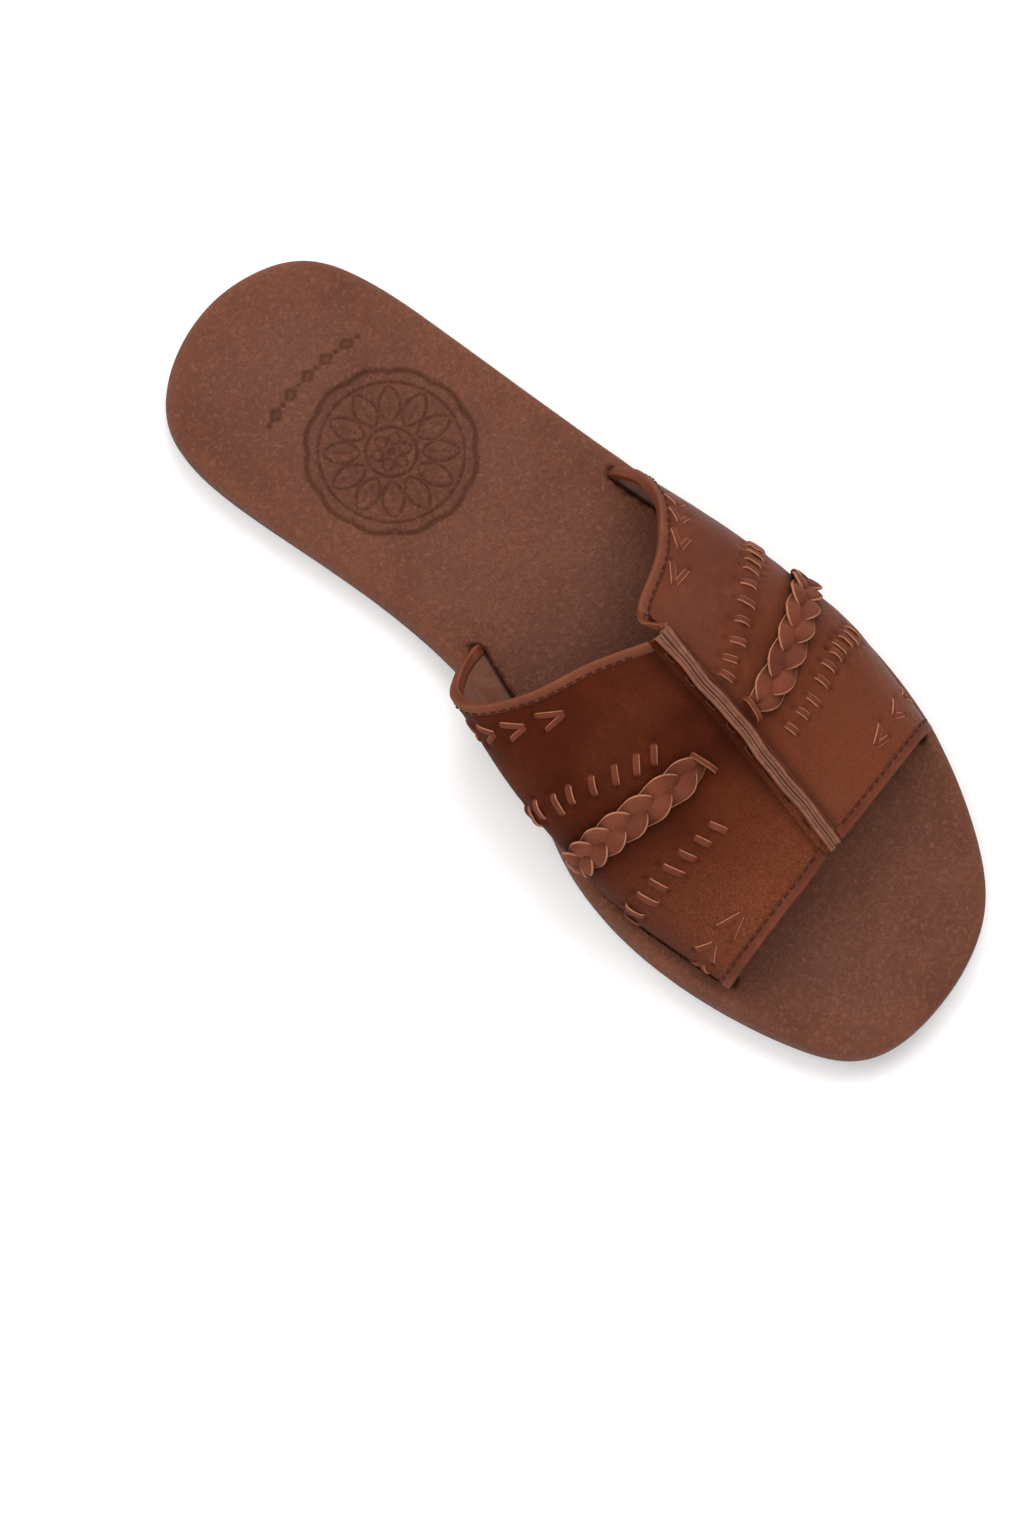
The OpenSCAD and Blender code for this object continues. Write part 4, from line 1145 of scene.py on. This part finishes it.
# ---------- machine stitching
def running(name, points, ups, thick, mat):
    verts, faces, _ = tube(sweep(points, ups, thick, thick, ROUND))
    rides(make(name, verts, faces, [mat]), "thread", name)


def edge_thread(name, side, front, w, pitch=2.5):
    """Machine stitches w mm in from an edge, dipping through the leather once every pitch."""
    p, n, d = edge_frame(side, front, np.linspace(0.035, 0.965 if front else 0.945, 900), w)
    s = along(p)
    count = int(s[-1] / pitch)
    t = np.linspace(0, s[-1], count * 10 + 1)
    phase = (t / s[-1] * count) % 1
    up = smooth(0.0, 0.12, phase) * smooth(0.72, 0.6, phase)
    h = PANEL + BIND * 0.6 + 0.2 * up - 0.9 * (1 - up) + np.interp(t, s, d)
    m = unit(at_lengths(t, s, n))
    running(name, at_lengths(t, s, p) + h[:, None] * m, m, 0.42, M_THREAD)


for word, side in SIDES.items():
    edge_thread("rear_thread_" + word, side, False, 1.95)
    edge_thread("front_thread_" + word, side, True, 2.0)

SEAM_STITCHES, STITCH_HEIGHT = 9, 2.6
v = np.linspace(0.04, 0.96, 401)
middle = (surf(-1, 1, v) + surf(1, 1, v)) / 2 + STITCH_HEIGHT * UP_SEAM
swing = (PANEL + LINING + 0.12) * np.clip(2.2 * np.sin(2 * math.pi * SEAM_STITCHES * v), -1, 1)
path = middle + (0.5 * seam_wave(v) + swing)[:, None] * ACROSS
running("centre_seam_thread", path, np.tile(UP_SEAM, (len(v), 1)), 0.5, M_SEAM_THREAD)

# ---------- stage, light and camera
bpy.ops.mesh.primitive_plane_add(size=6)
floor = bpy.context.object
floor.name = "floor"
paper = Nodes("floor_paper")
tones = (0.95, 0.945, 0.94, 1), (0.97, 0.965, 0.96, 1)
paper.set(Base_Color=paper.mix(paper.noise(0.01, 2, 0.5), *tones), Roughness=0.9, Specular_IOR_Level=0.1)
floor.data.materials.append(paper.m)

# The studio is brighter near the horizon than overhead.
scene = bpy.context.scene
scene.view_settings.view_transform = "Standard"
scene.world = bpy.data.worlds.new("studio")
scene.world.use_nodes = True
tree = scene.world.node_tree
sky = tree.nodes.new("ShaderNodeTexCoord")
split = tree.nodes.new("ShaderNodeSeparateXYZ")
fall = tree.nodes.new("ShaderNodeMapRange")
tree.links.new(sky.outputs["Generated"], split.inputs[0])
tree.links.new(split.outputs["Z"], fall.inputs[0])
for k, x in enumerate((0.0, 0.75, 0.9, 0.25), 1):
    fall.inputs[k].default_value = x
tree.nodes["Background"].inputs[0].default_value = (1.0, 0.985, 0.975, 1)
tree.links.new(fall.outputs[0], tree.nodes["Background"].inputs[1])


for name, where, power, colour in (("key", (1.0, 0.5, 1.5), 29, (1, 0.985, 0.97)),
                                   ("fill_heel", (-0.5, 1.1, 1.3), 15, (1, 0.99, 0.98)),
                                   ("fill_toe", (-0.9, -0.8, 1.3), 18, (0.98, 0.98, 1.0))):
    light = bpy.data.lights.new(name, "AREA")
    light.shape = "DISK"
    light.size = 1.8
    light.energy = power
    light.color = colour
    o = bpy.data.objects.new(name, light)
    o.location = where
    aim = Vector((0, -0.02 if name == "key" else 0, 0)) - o.location
    o.rotation_euler = aim.to_track_quat("-Z", "Y").to_euler()
    scene.collection.objects.link(o)

camera = bpy.data.objects.new("camera", bpy.data.cameras.new("camera"))
scene.collection.objects.link(camera)
right = Vector((0.67479, -0.73656, 0.04634))  # the image's right and up
up = Vector((0.70677, 0.66302, 0.24676))
facing = Matrix((right, up, right.cross(up).normalized())).transposed().to_4x4()
camera.matrix_world = Matrix.Translation(Vector((-0.3365, -0.1983, 1.3776))) @ facing
camera.data.sensor_fit = "AUTO"
camera.data.sensor_width = 36
camera.data.lens = 135.4
camera.data.clip_end = 20
scene.camera = camera
